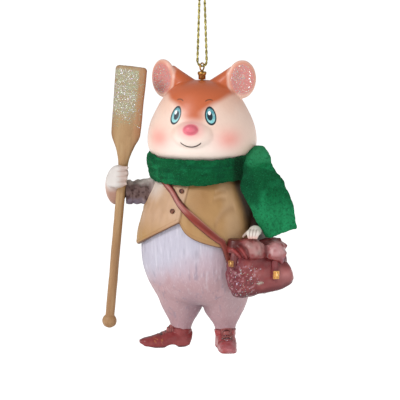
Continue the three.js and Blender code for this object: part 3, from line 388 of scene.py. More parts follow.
# The egg from its base up: rise, half width, and depths in front and behind.
HEAD = [(0, 13.2, 12.6, 11.6), (1.2, 15.4, 14.2, 13.2), (2.6, 16.5, 15.1, 14.3), (4.6, 17.2, 15.6, 15.2),
        (7.6, 17.2, 15.9, 15.5), (11.4, 16.4, 15.4, 15), (15.4, 14.6, 13.9, 13.6), (19.4, 12.2, 12, 11.6),
        (22.6, 9.2, 9.4, 8.8), (24.3, 5.8, 6, 5.8), (24.8, 2.4, 2.4, 2.4)]
MUZZLE_AT, MUZZLE_REACH = (0, -12.6, HEAD_BASE + 8.8), (7.2, 5.2, 4.8)
NOSE_AT, NOSE_REACH = (0, -17.6, HEAD_BASE + 11), (2, 1.5, 1.3)
EAR_OUT, EAR_BACK, EAR_RISE = 12.5, 0.6, 25.2
EAR_REACH = (4.8, 1.5, 6.1)
EAR_TURN, EAR_LEAN = np.radians(28), np.radians(3)
EAR_DISH, EAR_RIM = 1.0, 1.0
EAR_ROOT = [(4, 21.2, 4), (8.4, 25.2, 3), (10.8, 28.2, 1.9)]
HEAD_GRAIN = 0.27


def eased(table, places):
    """The sizes of a table at places along it, eased from each row to the next."""
    table, places = np.asarray(table, float), np.asarray(places, float)
    key, last = table[:, 0], len(table) - 1
    i = np.clip(np.searchsorted(key, places, side="right") - 1, 0, last - 1)
    before, after = np.maximum(i - 1, 0), np.minimum(i + 2, last)
    span = (key[i + 1] - key[i])[..., None]
    t = np.clip((places - key[i])[..., None] / span, 0, 1)
    a, b = table[i, 1:], table[i + 1, 1:]
    leaving = (b - table[before, 1:]) / (key[i + 1] - key[before])[..., None] * span
    reaching = (table[after, 1:] - a) / (key[after] - key[i])[..., None] * span
    return ((2 * t ** 3 - 3 * t ** 2 + 1) * a + (t ** 3 - 2 * t ** 2 + t) * leaving
            + (3 * t ** 2 - 2 * t ** 3) * b + (t ** 3 - t ** 2) * reaching)


def squared(value, squareness):
    """A sine or cosine drawn towards a square corner: 2 is round, larger is squarer."""
    return np.sign(value) * np.abs(value) ** (2 / squareness)


def oval(sizes, angle, height, stand=0.0, squareness=2):
    """Places on level ovals, by the angle round from the front towards the figure's left."""
    s, c = np.sin(angle), np.cos(angle)
    deep = np.where(c > 0, sizes[..., 1], sizes[..., 2]) + stand
    return joined((sizes[..., 0] + stand) * squared(s, squareness), -deep * squared(c, squareness), height)


def ball(at, reach, columns=64):
    """An egg with a reach along each axis."""
    lift = np.linspace(-np.pi / 2, np.pi / 2, columns // 2 + 1)[1:-1, None]
    angle = angles(columns)[None]
    points = joined(np.cos(lift) * np.cos(angle), np.cos(lift) * np.sin(angle), np.sin(lift))
    return skin(points * reach + at)


def cast(parts, grain, passes):
    """Closed forms melted into one casting: its surface in even squares, with its corners softened."""
    points, faces = gathered(*parts)
    mesh = bpy.data.meshes.new("melt")
    mesh.from_pydata(points.tolist(), [], list(corners_of(faces)))
    melt = in_scene("melt", mesh)
    remesh = melt.modifiers.new("remesh", "REMESH")
    remesh.mode, remesh.voxel_size = "VOXEL", grain
    smooth = melt.modifiers.new("smooth", "SMOOTH")
    smooth.factor, smooth.iterations = 0.5, passes
    bpy.context.view_layer.update()
    result = bpy.data.meshes.new_from_object(melt.evaluated_get(bpy.context.evaluated_depsgraph_get()))
    made = np.empty(len(result.vertices) * 3)
    result.vertices.foreach_get("co", made)
    squares = np.empty(len(result.loops), int)
    result.loops.foreach_get("vertex_index", squares)
    bpy.data.objects.remove(melt)
    bpy.data.meshes.remove(mesh)
    bpy.data.meshes.remove(result)
    return made.reshape(-1, 3), squares.reshape(-1, 4)


def step(low, high, value):
    """0 below low, 1 above high, and eased between them."""
    t = np.clip((value - low) / (high - low), 0, 1)
    return t * t * (3 - 2 * t)


def bell(value, middle, width):
    """1 where a value is at the middle, fading to 0 on both sides of it."""
    return np.exp(-((value - middle) / width) ** 2)


def cloud(points, size, seed, stretch=(1, 1, 1)):
    """Soft unevenness from -1 to 1, with lumps of about a size in millimetres."""
    lattice = np.random.default_rng(seed).uniform(-1, 1, (32, 32, 32))
    at = np.asarray(points, float) / (size * np.asarray(stretch, float)) + 100
    whole = np.floor(at).astype(int)
    t = at - whole
    t = t * t * (3 - 2 * t)
    total = 0
    for corner in np.ndindex(2, 2, 2):
        x, y, z = ((whole + corner) % 32).T
        share = np.prod(np.where(corner, t, 1 - t), axis=1)
        total = total + share * lattice[x, y, z]
    return total


def painted(points, base, *coats):
    """Colours for points: a base, with coats of other colours laid over it in their order by their shares."""
    colours = np.tile(colour(base), (len(points), 1))
    for code, share in coats:
        share = np.clip(share, 0, 1)[:, None]
        colours = colours * (1 - share) + colour(code) * share
    return colours


def dished_ear(side):
    """A round ear in its own place: a lens with a dish in its front, and its root on the crown."""
    t = np.linspace(0.02, np.pi - 0.02, 60)[:, None]
    angle = angles(80)[None]
    x, z = np.sin(t) * np.cos(angle), np.sin(t) * np.sin(angle)
    y = np.broadcast_to(-np.cos(t) * EAR_REACH[1], x.shape)
    dish_half, dish_tall = EAR_REACH[0] - EAR_RIM, EAR_REACH[2] - EAR_RIM
    inner = 1 - (x * EAR_REACH[0] / dish_half) ** 2 - (z * EAR_REACH[2] / dish_tall) ** 2
    dish = -EAR_REACH[1] + EAR_DISH * np.sqrt(np.maximum(inner, 0))
    y = np.where((t < np.pi / 2) & (inner > 0), np.maximum(y, dish), y)
    local = joined(x * EAR_REACH[0], y, z * EAR_REACH[2])
    lean, turn = side * EAR_LEAN, side * EAR_TURN
    lean_ways = np.array([[np.cos(lean), 0, -np.sin(lean)], [0, 1, 0], [np.sin(lean), 0, np.cos(lean)]])
    placed = turned_about(local @ lean_ways, turn) + (side * EAR_OUT, EAR_BACK, HEAD_BASE + EAR_RISE)
    root = [(side * out, EAR_BACK, HEAD_BASE + rise) for out, rise, _ in EAR_ROOT]
    return skin(placed), tube(root, [radius for _, _, radius in EAR_ROOT], 32)


rises = np.linspace(0, HEAD[-1][0], 70)
skull = skin(oval(eased(HEAD, rises)[:, None], angles(110)[None], HEAD_BASE + rises[:, None]))
head = cast([skull, ball(MUZZLE_AT, MUZZLE_REACH), ball(NOSE_AT, NOSE_REACH, 32),
             *dished_ear(-1), *dished_ear(1)], HEAD_GRAIN, 7)
p = head[0]
x, y, z = p.T
rise, off_middle, round_front = z - HEAD_BASE, np.abs(x), np.arctan2(x, -y)
turned_away = np.abs(round_front)
ear_local = turned_about(joined(off_middle - EAR_OUT, y - EAR_BACK, rise - EAR_RISE), -EAR_TURN)
ear_depth = ear_local[:, 1]
in_ear = np.sqrt((ear_local[:, 0] / EAR_REACH[0]) ** 2 + (ear_local[:, 2] / EAR_REACH[2]) ** 2)
in_dish = step(0.86, 0.7, in_ear) * step(0.1, -0.3, ear_depth)
on_ear = step(1.12, 0.95, in_ear) * step(20.5, 23, rise)
soft = cloud(p, 3, 1)
blush = bell(turned_away, 0.74, 0.27) * bell(rise, 7.6, 3.1)
blaze_half = 2.4 + 9.5 * step(15.5, 23.5, rise)
front_russet = step(3.2, -1.6, off_middle - blaze_half + 0.5 * soft) * step(11.6, 15.2, rise)
back_russet = step(1.55, 2.2, turned_away + 0.05 * soft) * step(-1, 3, rise)
russet = np.maximum(front_russet * step(6, 2, y), np.maximum(back_russet, step(20.5, 23.5, rise)))
nose_reach = np.linalg.norm((p - NOSE_AT) / (2.9, 3.2, 2.2), axis=1)
coat = painted(
    p, "f0d3c3",
    ("f4e4da", 0.8 * step(11.5, 6.5, rise + soft) * step(1.3, 0.5, turned_away)),
    ("e8b9a2", 0.7 * step(13, 20, rise + soft) * step(0.35, 0.75, turned_away)),
    ("ec8d80", 0.75 * blush),
    ("c3581e", 0.95 * russet),
    ("a94f27", 0.35 * russet * step(19, 24, rise) * step(9, 3, off_middle)),
    ("e3a48e", 0.8 * on_ear),
    ("c5704f", 0.75 * on_ear * step(-0.2, 0.5, ear_depth)),
    ("d0807c", 0.9 * in_dish),
    ("e9bfae", 0.7 * on_ear * step(0.84, 0.95, in_ear) * step(0.9, 0.2, ear_depth)),
    ("f0a7a6", 0.6 * step(2.0, 0.8, nose_reach)),
    ("e2677c", 0.95 * step(1.0, 0.72, nose_reach)),
)
# The face's own flat frame, in millimetres round the head from its middle and up from its base.
FACE_RADIUS = 16.5
face = joined(FACE_RADIUS * round_front, rise, 0)


def painted_resin(name, **settings):
    """Painted resin: the piece's own painted colours, with the faint unevenness of a brushed coat."""
    material, tree, shader, place = new_finish(name, **settings)
    paint = put(tree, "VertexColor", layer_name="paint").outputs["Color"]
    brushed = mixed(tree, noise(tree, place, 0.9, 4), (0.93, 0.92, 0.92, 1), (1, 1, 1, 1))
    return material, tree, shader, place, mixed(tree, 1.0, paint, brushed, "MULTIPLY")


def sums(tree, operation, *inputs):
    """A sum of numbers in a shader."""
    return put(tree, "Math", *inputs, operation=operation).outputs[0]


def glittered(tree, shader, place, paint, size, relief, rough, brightest=(1, 0.97, 0.88, 1)):
    """Flakes of glitter set in the paint where glitter is painted on. Each flake lies at its own slant."""
    amount = put(tree, "Attribute", attribute_name="glitter").outputs["Fac"]
    flake = put(tree, "TexVoronoi", place)
    flake.inputs["Scale"].default_value = 1 / size
    tones = put(tree, "SeparateXYZ", flake.outputs["Color"]).outputs
    chosen = sums(tree, "MULTIPLY", sums(tree, "GREATER_THAN", amount, tones[0]),
                  sums(tree, "LESS_THAN", flake.outputs["Distance"], 0.55))
    foil = mixed(tree, 0.7, flake.outputs["Color"], mixed(tree, tones[1], (0.34, 0.3, 0.22, 1), brightest))
    slant = put(tree, "VectorMath", flake.outputs["Color"], (0.5, 0.5, 0.5), operation="SUBTRACT").outputs[0]
    scaled = put(tree, "VectorMath", slant, operation="SCALE")
    feed(tree, scaled.inputs["Scale"], sums(tree, "MULTIPLY", chosen, 1.1))
    facing = put(tree, "VectorMath", relief, scaled.outputs[0], operation="ADD").outputs[0]
    for socket, value in (("Base Color", mixed(tree, chosen, paint, foil)),
                          ("Metallic", sums(tree, "MULTIPLY", chosen, 0.6)),
                          ("Roughness", ranged(tree, chosen, 0, 1, rough, 0.3)),
                          ("Normal", put(tree, "VectorMath", facing, operation="NORMALIZE").outputs[0])):
        feed(tree, shader.inputs[socket], value)


def in_oval(tree, across, rise, at, half, lean=0.0):
    """How far out a place is in an oval: 0 at its middle and 1 on its line."""
    x, y = sums(tree, "SUBTRACT", across, at[0]), sums(tree, "SUBTRACT", rise, at[1])
    c, s = np.cos(lean), np.sin(lean)
    along = sums(tree, "ADD", sums(tree, "MULTIPLY", x, c / half[0]), sums(tree, "MULTIPLY", y, s / half[0]))
    up = sums(tree, "SUBTRACT", sums(tree, "MULTIPLY", y, c / half[1]),
              sums(tree, "MULTIPLY", x, s / half[1]))
    return sums(tree, "SQRT", sums(tree, "ADD", sums(tree, "MULTIPLY", along, along),
                                   sums(tree, "MULTIPLY", up, up)))


EYE_AT, EYE_HALF, EYE_TILT = (6.5, 14.9), (2.0, 2.75), 0.12
PUPIL_AT, PUPIL_HALF = (EYE_AT[0] - 0.25, EYE_AT[1] - 0.05), (0.95, 1.3)
# The brows and the smile are painted arcs of ovals. For each: the oval's middle and halves, the soft edge
# of the line, the middle and the soft ends of its stretch, the side of a height it keeps to, and its colour.
FACE_LINES = [
    ((EYE_AT[0] + 0.2, 15.4), (4.1, 4.3), (0.055, 0.025), EYE_AT[0] - 0.1, (1.9, 1.3),
     "GREATER_THAN", 17.0, "7a4023"),
    ((0, 9.9), (4.4, 4.4), (0.06, 0.03), 0.0, (3.3, 3.0), "LESS_THAN", 9.0, "3d2522"),
]
head_paint, tree, shader, place, paint = painted_resin("head_paint", roughness=0.42, coat_weight=0.15,
                                                       coat_roughness=0.25)
face_frame = put(tree, "Attribute", attribute_name="face").outputs["Color"]
signed, up, _ = put(tree, "SeparateXYZ", face_frame).outputs
both = sums(tree, "ABSOLUTE", signed)
out = in_oval(tree, both, up, EYE_AT, EYE_HALF, EYE_TILT)
paint = mixed(tree, ranged(tree, out, 1.06, 1.0), paint, "14242c")
iris = mixed(tree, ranged(tree, up, EYE_AT[1] - 2.4, EYE_AT[1] + 1.6), "7fcbd0", "2f8795")
iris = mixed(tree, ranged(tree, noise(tree, place, 2.2, 2), 0.35, 0.7, 0, 0.35), iris, "d4f0ea")
paint = mixed(tree, ranged(tree, out, 0.84, 0.78), paint, iris)
pupil = in_oval(tree, both, up, PUPIL_AT, PUPIL_HALF, EYE_TILT)
paint = mixed(tree, ranged(tree, pupil, 1.1, 0.95), paint, "10222e")
# Painted highlight: a white catch-light dot high in each eye.
for side in (-1, 1):
    catch_light_highlight = in_oval(tree, signed, up, (side * EYE_AT[0] - 0.35, EYE_AT[1] + 0.85), (0.52, 0.6))
    paint = mixed(tree, ranged(tree, catch_light_highlight, 1.15, 0.9), paint, (1, 1, 1, 1))
for at, half, line, middle, stretch, side_of, limit, code in FACE_LINES:
    off_line = sums(tree, "ABSOLUTE", sums(tree, "SUBTRACT", in_oval(tree, both, up, at, half), 1.0))
    off_stretch = sums(tree, "ABSOLUTE", sums(tree, "SUBTRACT", both, middle))
    mark = sums(tree, "MULTIPLY", ranged(tree, off_line, *line), ranged(tree, off_stretch, *stretch))
    mark = sums(tree, "MULTIPLY", mark, sums(tree, side_of, up, limit))
    paint = mixed(tree, mark, paint, code)
glittered(tree, shader, place, paint, 0.24, relief_of(tree, noise(tree, place, 1.2, 4), 0.03), 0.42)
piece("head_casting", head, head_paint, "head", paint=coat, face=face, glitter=0.3 * in_dish)

# The chest: one casting with a sleeveless waistcoat modelled on it, solid above the waist joint and
# a thin skirt round the trousers below it. The edge on the buttons' side laps over the other.
TRUNK = [(15.8, 10.4, 7.6, 7.6), (17.2, 13.8, 10.4, 10), (20.4, 16.2, 12.8, 13), (25, 18.3, 14.8, 15.2),
         (31, 19.3, 16.2, 16.5), (38, 19.1, 16.6, 16.4), (44, 17.8, 15.8, 15.4), (50, 15.4, 13.8, 13.5),
         (54, 13.3, 12, 11.8), (57.5, 10.6, 9.8, 9.4), (61, 8.8, 8.4, 8.4)]
NECK_TOP = 61
WAIST_JOINT = 45
GAP = 0.3
WAISTCOAT_WALL = 1
HEM_FLARE = 0.3
HEM_NOTCH, HEM_SIDE = 43.1, 34.4
HEM_NOTCH_ANGLE, HEM_SIDE_ANGLE = np.radians(-11), np.radians(58)
# Past the notch, on the figure's left, the hem drops fast and then runs round.
HEM_ROUNDING = 0.46
COLLAR_HEIGHT = 54.5
ARMHOLE_MIDDLE, ARMHOLE_REACH = (0.3, 50.7), 5.3
# Creases of the cloth, from one place to another in degrees round and height: bow, width and depth.
WAISTCOAT_CREASES = [((43, 47.5), (22, 42.6), -1.3, 1.3, 0.13), ((38, 52.6), (24, 51.6), -0.3, 0.7, 0.08),
                     ((36, 50.2), (22, 49.8), -0.3, 0.7, 0.08), ((-38, 49.5), (-31, 44.5), 1.6, 2.4, 0.09),
                     ((-48, 46.5), (-40, 41), 1.4, 2.6, 0.08), ((-27, 50), (-30, 47), 0.8, 1.6, 0.06)]


def hem_height(angle):
    """The height of the hem at an angle round the body."""
    off = angle - HEM_NOTCH_ANGLE
    off = np.arctan2(np.sin(off), np.cos(off))
    share = np.sin(np.minimum(np.abs(off), HEM_SIDE_ANGLE)) / np.sin(HEM_SIDE_ANGLE)
    rounded = share ** HEM_ROUNDING * (1 - np.exp(-share / 0.06))
    return HEM_NOTCH + (HEM_SIDE - HEM_NOTCH) * np.where(off > 0, rounded, share)


def on_waistcoat(angle, height, stand=0.0):
    """A place on the waistcoat's outside, or off it by a stand."""
    collar = step(COLLAR_HEIGHT, NECK_TOP, height)
    flare = step(0, WAIST_JOINT - HEM_SIDE, WAIST_JOINT - height)
    wall = (GAP + WAISTCOAT_WALL) * (1 - collar) + HEM_FLARE * flare
    return oval(eased(TRUNK, height), angle, height, wall + stand)


def stroke(u, v, start, end, bow, width):
    """How near places are to a bowed line between two places: 1 on it, and 0 beyond its width."""
    run = np.subtract(end, start)
    length = np.linalg.norm(run)
    along = ((u - start[0]) * run[0] + (v - start[1]) * run[1]) / length ** 2
    off = ((v - start[1]) * run[0] - (u - start[0]) * run[1]) / length
    t = np.clip(along, 0, 1)
    return np.exp(-((off - bow * 4 * t * (1 - t)) ** 2 + ((along - t) * length) ** 2) / width ** 2)


def outward(made):
    """The way that the surface faces at each of its points."""
    points, faces = made
    facing = np.cross(points[faces[:, 2]] - points[faces[:, 0]], points[faces[:, 3]] - points[faces[:, 1]])
    total = joined(*[
        sum(np.bincount(faces[:, k], facing[:, axis], len(points)) for k in range(4)) for axis in range(3)
    ])
    return total / np.maximum(np.linalg.norm(total, axis=1), 1e-12)[:, None]


def pushed(made, amount):
    """A skin moved outwards by an amount at each of its points."""
    return made[0] + outward(made) * np.asarray(amount)[:, None], made[1]


# The edge of the lap: degrees round at the hem's notch, and its slant in degrees for each millimetre up.
LAP_FOOT, LAP_SLANT = -11, 0.5
LINING_STAND = GAP + 0.05
HEM_BEAD = 0.4
round_body = np.linspace(-np.pi, np.pi, 340, endpoint=False)
hem = hem_height(round_body)
rings = []
for share in np.linspace(0, 1, 6):
    height = WAIST_JOINT + 1 + (hem + HEM_BEAD - WAIST_JOINT - 1) * share
    rings.append(oval(eased(TRUNK, height), round_body, height, LINING_STAND))
for turn in np.linspace(0, np.pi, 8)[1:-1]:
    reach = LINING_STAND + (WAISTCOAT_WALL + HEM_FLARE) * (1 - np.cos(turn)) / 2
    height = hem + HEM_BEAD - HEM_BEAD * np.sin(turn)
    rings.append(oval(eased(TRUNK, height), round_body, height, reach))
inner_rows = len(rings)
for share in np.linspace(0, 1, 96):
    height = hem + HEM_BEAD + (NECK_TOP - hem - HEM_BEAD) * share
    rings.append(on_waistcoat(round_body, height))
waistcoat = skin(rings)
p = waistcoat[0]
x, y, height = p.T
degrees = np.degrees(np.arctan2(x / 18.5, -y / 16))
outside = (np.arange(len(p)) >= inner_rows * len(round_body)).astype(float)
past_lap = degrees - (LAP_FOOT + (height - HEM_NOTCH) * LAP_SLANT)
on_lap = step(-34, -14, degrees)
lap = step(0.4, -0.9, past_lap) * on_lap
arm_reach = np.hypot(y - ARMHOLE_MIDDLE[0], height - ARMHOLE_MIDDLE[1])
rim = bell(arm_reach, ARMHOLE_REACH, 0.55) * step(9, 11, np.abs(x))
above_hem = height - hem_height(np.radians(degrees))
seam = bell(above_hem, 1.3, 0.22)
lap_seam = bell(past_lap, -3.4, 0.5) * on_lap
dents = sum(depth * stroke(degrees, height, a, b, bow, width)
            for a, b, bow, width, depth in WAISTCOAT_CREASES)
# Painted highlight along the crests beside the first three creases.
crease_crest_highlight = sum(stroke(degrees, height, np.add(a, (1.5, 1.1)), np.add(b, (1.5, 1.1)), bow, 0.9 * width)
            for a, b, bow, width, _ in WAISTCOAT_CREASES[:3])
swell = 0.1 * cloud(p, 3.2, 2) + 0.05 * cloud(p, 1.3, 3)
raised = outside * (0.24 * lap + 0.3 * rim - 0.12 * seam - 0.06 * lap_seam - dents + swell)
waistcoat = pushed(waistcoat, raised)
brush = 0.55 * cloud(p, 1.1, 4, (1, 1, 4)) + 0.45 * cloud(p, 1.6, 9)
right_panel = step(0.6, -0.6, past_lap) * step(-80, -60, degrees)
right_side = step(-30, -52, degrees) * step(-155, -115, degrees)
cloth = painted(
    p, "b08755",
    ("a0713a", 0.45 * step(0.1, 0.8, cloud(p, 4, 5))),
    ("c6a182", right_panel * (0.75 + 0.25 * step(-0.6, 0.6, brush)) * step(37, 45, height)),
    # Pale frost near the right shoulder, which is also a painted highlight from the light above.
    ("e2d5cc", 0.75 * right_side * step(47, 53, height + 1.5 * brush)),
    ("b58f4c", 0.5 * right_side * step(40, 35.5, height)),
    # Painted highlight on the crests beside the creases.
    ("c7a178", 0.5 * crease_crest_highlight),
    # Painted highlight: a soft pale band on the front of the figure's left side.
    ("c3a07a", 0.6 * step(27, 37, degrees + brush) * step(52, 43, degrees + brush)),
    ("9d7144", 0.45 * step(-6, 4, degrees) * step(24, 12, degrees) * step(45, 50, height)),
    # Painted shade in the creases, browner on the figure's left and greyer on its right.
    ("8a6038", 0.5 * np.clip(dents * 6, 0, 1) * step(0, 20, degrees)),
    ("a88260", 0.4 * np.clip(dents * 9, 0, 1) * step(0, -20, degrees)),
    # Painted shadow cast by the lap's edge onto the panel under it.
    ("6b4426", 0.75 * bell(past_lap, 0.7, 0.7) * outside),
    ("8a5f38", 0.2 * seam + 0.2 * lap_seam),
    # Painted shade, almost black, on the figure's left side in the gap under the arm and the scarf.
    ("2e1b0e", 0.93 * step(46, 60, degrees + 2 * brush) * step(110, 90, degrees)),
    ("9a6f5a", 0.5 * step(1.0, 0.1, above_hem) * outside),
    ("6e4a2c", 1 - outside),
)


def brushed_finish(name, relief_scale, relief_detail, relief_depth, **settings):
    """A finish of painted resin with nothing on it but its own painted colours and a cloudy relief."""
    material, tree, shader, place, paint = painted_resin(name, **settings)
    laid_on(tree, shader, paint, noise(tree, place, relief_scale, relief_detail), relief_depth)
    return material


waistcoat_paint = brushed_finish("waistcoat_paint", 2.6, 5, 0.07, roughness=0.5)
piece("waistcoat", waistcoat, waistcoat_paint, "torso", paint=cloth)

# The trousers: one casting of the hips and both legs, brushed white over a dusty pink, with fine
# upright streaks. Its ankles are pegged into the shoes, and its waist ends inside the waistcoat.
# A leg from its foot up: height, place aside, half width, and depths in front and behind.
LEG = [(3.6, 7.2, 2.8, 2.8, 2.8), (6.4, 7.2, 3.15, 3.2, 3.2), (8.7, 7.05, 3.75, 3.9, 3.8),
       (10.7, 6.9, 4.9, 5, 4.8), (13, 6.8, 6.2, 6.4, 5.9), (15.2, 6.9, 7, 7.8, 7.4),
       (17.5, 7.1, 7.5, 9.2, 8.8), (21, 7.3, 8.8, 11.8, 11)]
LEGS_MIDDLE = 0.35
TROUSER_GRAIN = 0.3


def relaxed(made, share, passes):
    """A skin smoothed further where share is high, by drawing each point towards its neighbours."""
    points, faces = made[0].copy(), made[1]
    a, b = faces.ravel(), np.roll(faces, -1, axis=1).ravel()
    one, other = np.concatenate([a, b]), np.concatenate([b, a])
    count = np.bincount(one, minlength=len(points))
    for _ in range(passes):
        mean = joined(*[np.bincount(one, points[other, axis], len(points)) for axis in range(3)])
        points += 0.6 * np.asarray(share)[:, None] * (mean / count[:, None] - points)
    return points, faces


round_trunk = angles(120)
rows = np.linspace(TRUNK[0][0], WAIST_JOINT, 80)
parts = [skin(oval(eased(TRUNK, rows)[:, None], round_trunk[None], rows[:, None]))]
rows = np.linspace(LEG[0][0], LEG[-1][0], 50)
sizes = eased(LEG, rows)
for side in (-1, 1):
    shift = joined(LEGS_MIDDLE + side * sizes[:, 0], 0, 0)
    parts.append(skin(oval(sizes[:, None, 1:], round_trunk[None, ::2], rows[:, None]) + shift[:, None]))
trousers = cast(parts, TROUSER_GRAIN, 4)
trousers = relaxed(trousers, step(13, 16, trousers[0][:, 2]) * step(25, 21, trousers[0][:, 2]), 30)
p = trousers[0]
x, y, z = p.T
streak = cloud(p, 0.75, 6, (1, 1, 9))
broad = cloud(p, 1.9, 7, (1, 1, 7))
trousers = pushed(trousers, (0.07 * streak + 0.09 * broad) * step(44, 40, z))
edge = z + 1.1 * broad + 0.8 * streak
# Painted shade between the legs, below the seat.
shade_between_legs = bell(x, LEGS_MIDDLE - 1.2, 3.6) * step(24, 15, z)
cloth = painted(
    p, "b99599",
    ("c3adb9", 0.8 * step(21, 30, edge)),
    ("bfbccb", 0.95 * step(26, 36, edge - 0.4 * x)),
    ("c9d4d9", 0.5 * step(35, 40, edge) * step(0.1, 0.7, cloud(p, 3, 8))),
    ("857b8d", 0.45 * step(0.4, 0.8, streak)),
    ("dedbe6", 0.35 * step(-0.5, -0.8, streak) * step(18, 26, z)),
    # Painted shade between the legs.
    ("8a7480", 0.6 * shade_between_legs),
    ("a98089", 0.5 * step(14, 7, z)),
    # Painted shade on both sides of the hips.
    ("9b93a8", 0.45 * step(15.5, 19.5, np.abs(x)) * step(24, 31, z)),
    # Painted shade on the front of the left hip, beside the bag.
    ("b39a9f", 0.55 * step(6.5, 12, x) * step(-2, -8, y)),
)
trouser_paint, tree, shader, place, paint = painted_resin("trouser_paint", roughness=0.5)
fine = noise(tree, stretched(tree, place, (1, 1, 0.09)), 2.4, 3)
paint = mixed(tree, ranged(tree, fine, 0.58, 0.72, 0, 0.2), paint, "857a8c")
paint = mixed(tree, ranged(tree, fine, 0.44, 0.32, 0, 0.16), paint, "efeaf4")
laid_on(tree, shader, paint, fine, 0.05)
piece("trousers_casting", trousers, trouser_paint, "trousers", paint=cloth)

# The shoes: two castings with a heel, a sole and a collar at the ankle, painted maroon like leather.
# The right one turns far out to its side and the left one points nearly forwards.
SOLE_HEIGHT = 0.8
# A shoe from its heel forwards: place along it, half width, top and underside.
SHOE = [(-3.5, 1.5, 5, 3.8), (-3.1, 2.3, 5.2, 2.2), (-2.2, 2.9, 5.4, 0.7), (-0.9, 3.2, 5.6, 0),
        (1.4, 3.2, 5.8, 0), (2.4, 3.1, 5.6, 0.8), (4.6, 3, 5.3, 0.8), (6, 3, 4.8, 0),
        (9.4, 2.65, 3.8, 0.1), (11.8, 2.15, 3.3, 0.8), (13.6, 1, 2.7, 1.6)]
SHOE_CUP = [(2.7, 2.2), (3.15, 3.4), (3.35, 4.8), (3.4, 5.8), (3.3, 6.1)]
COLLAR_AT, COLLAR_REACH, COLLAR_BEAD, COLLAR_TILT = (0, -0.1, 6), (3.15, 3.25), 0.36, -0.2
TONGUE_AT, TONGUE_REACH = (0, -3.4, 5.7), (1.5, 1.3, 1.1)
LACE_HALF, LACE_START, LACE_SPACING, LACE_RUN, LACE_WIDTH = 1.5, 3.2, 1.15, 0.7, 0.22
SHOE_TURNS = {"right": (-1, np.radians(-64)), "left": (1, np.radians(17))}
SHOE_GRAIN = 0.2


def egg_ring(at, reach, bead, tilt):
    """A round bead laid in an oval, level or with its front lowered by a tilt."""
    around, small = angles(72)[:, None], angles(16)[None]
    x = (reach[0] + bead * np.cos(small)) * np.cos(around)
    y = (reach[1] + bead * np.cos(small)) * np.sin(around)
    z = bead * np.sin(small) + tilt * y
    return skin(joined(x, y, z) + np.asarray(at, float), loop=True)


leather, tree, shader, place, paint = painted_resin("leather_paint", roughness=0.36, coat_weight=0.12,
                                                    coat_roughness=0.2, specular_ior_level=0.35)
glittered(tree, shader, place, paint, 0.22, relief_of(tree, noise(tree, place, 2.2, 5), 0.05), 0.36,
          (0.8, 0.6, 0.6, 1))
places = np.linspace(SHOE[0][0], SHOE[-1][0], 90)
half, top, under = (column[:, None] for column in eased(SHOE, places).T)
angle = angles(64)[None]
low = np.sin(angle) < 0
up = np.where(low, squared(np.sin(angle), 6), np.sin(angle))
wide = np.where(low, squared(np.cos(angle), 4), squared(np.cos(angle), 2.2))
rise = np.maximum(0, (top + under) / 2 + up * (top - under) / 2)
body = skin(joined(wide * half, -places[:, None], rise))
cup = spun(SHOE_CUP, 72)
cup[0][:, 2] += COLLAR_TILT * cup[0][:, 1] * step(3, 5.5, cup[0][:, 2])
collar = egg_ring(COLLAR_AT, COLLAR_REACH, COLLAR_BEAD, COLLAR_TILT)
last = cast([body, cup, collar, ball(TONGUE_AT, TONGUE_REACH, 40)], SHOE_GRAIN, 3)
p = last[0]
x, along, rise = p[:, 0], -p[:, 1], p[:, 2]
welt = bell(rise, 0.95, 0.22) * step(2.4, 1.6, rise)
laces = sum(stroke(x, along, (-way * LACE_HALF, start), (way * LACE_HALF, start + LACE_RUN), 0, LACE_WIDTH)
            for start in LACE_START + LACE_SPACING * np.arange(3) for way in (1, -1)) * step(3, 4, rise)
opening = (step(2.0, 1.5, np.abs(x)) * step(2.2, 2.8, along) * step(7.6, 6.8, along)
           * step(3, 3.8, rise))
toe_seam = bell(along + 0.22 * x ** 2, 8.3, 0.25)
toe_middle = step(0.7, 0.3, np.abs(x)) * step(6.5, 9, along) * step(2.3, 3, rise)
# Patches of paler pink over the front of the toe.
pale_toe_patches = step(8.8, 9.6, along + 0.2 * x ** 2) * step(-0.4, 0.4, cloud(p, 1.3, 13))
scuffs = (bell(along, 8.1, 1.5) * bell(rise, 2.6, 0.9) * step(0.2, 1.2, x)
          * step(0.15, 0.5, cloud(p, 0.42, 42)))
instep = step(3.4, 1.6, np.abs(x - 0.6)) * step(4.5, 5.5, along) * step(8.6, 7.8, along)
for name, (side, turn) in SHOE_TURNS.items():
    left, right = side > 0, side < 0
    seam_depth, seam_dark = (0.16, 0.75) if left else (0.05, 0.2)
    shoe = pushed(last, 0.16 * welt + 0.2 * np.clip(laces, 0, 1) - 0.1 * opening - seam_depth * toe_seam
                  + 0.09 * cloud(p, 1.1, 11, (1.6, 1, 1)))
    hide = painted(
        # One paint for both shoes, painted lighter on the left shoe and darker on the right: painted light
        # and shade.
        p, "a24446" if left else "853031",
        ("9c4646", 0.5 * step(0.1, 0.7, cloud(p, 1.5, 12))),
        ("5a2024", 0.7 * step(5.9, 6.5, rise) * step(5.5, 3.8, np.abs(along))),
        # Painted shade, near black, in the hollow of the lace opening.
        ("35100f", 0.9 * opening),
        ("54242a", 0.7 * toe_middle * right),
        ("b4625f", 0.7 * np.clip(laces, 0, 1)),
        ("4a1a1c", seam_dark * toe_seam),
        # Paler pink patches on the front of the left toe.
        ("b0686d", 0.8 * pale_toe_patches * left),
        ("5d2a2e", 0.8 * step(1.0, 0.4, rise)),
        ("c98a4e", 0.7 * scuffs * right),
    )
    placed = turned_about(shoe[0], turn) + (LEGS_MIDDLE + side * LEG[0][1], 0, SOLE_HEIGHT)
    piece(name + "_shoe_casting", (placed, shoe[1]), leather, name + "_shoe", paint=hide,
          glitter=0.3 * instep * left)

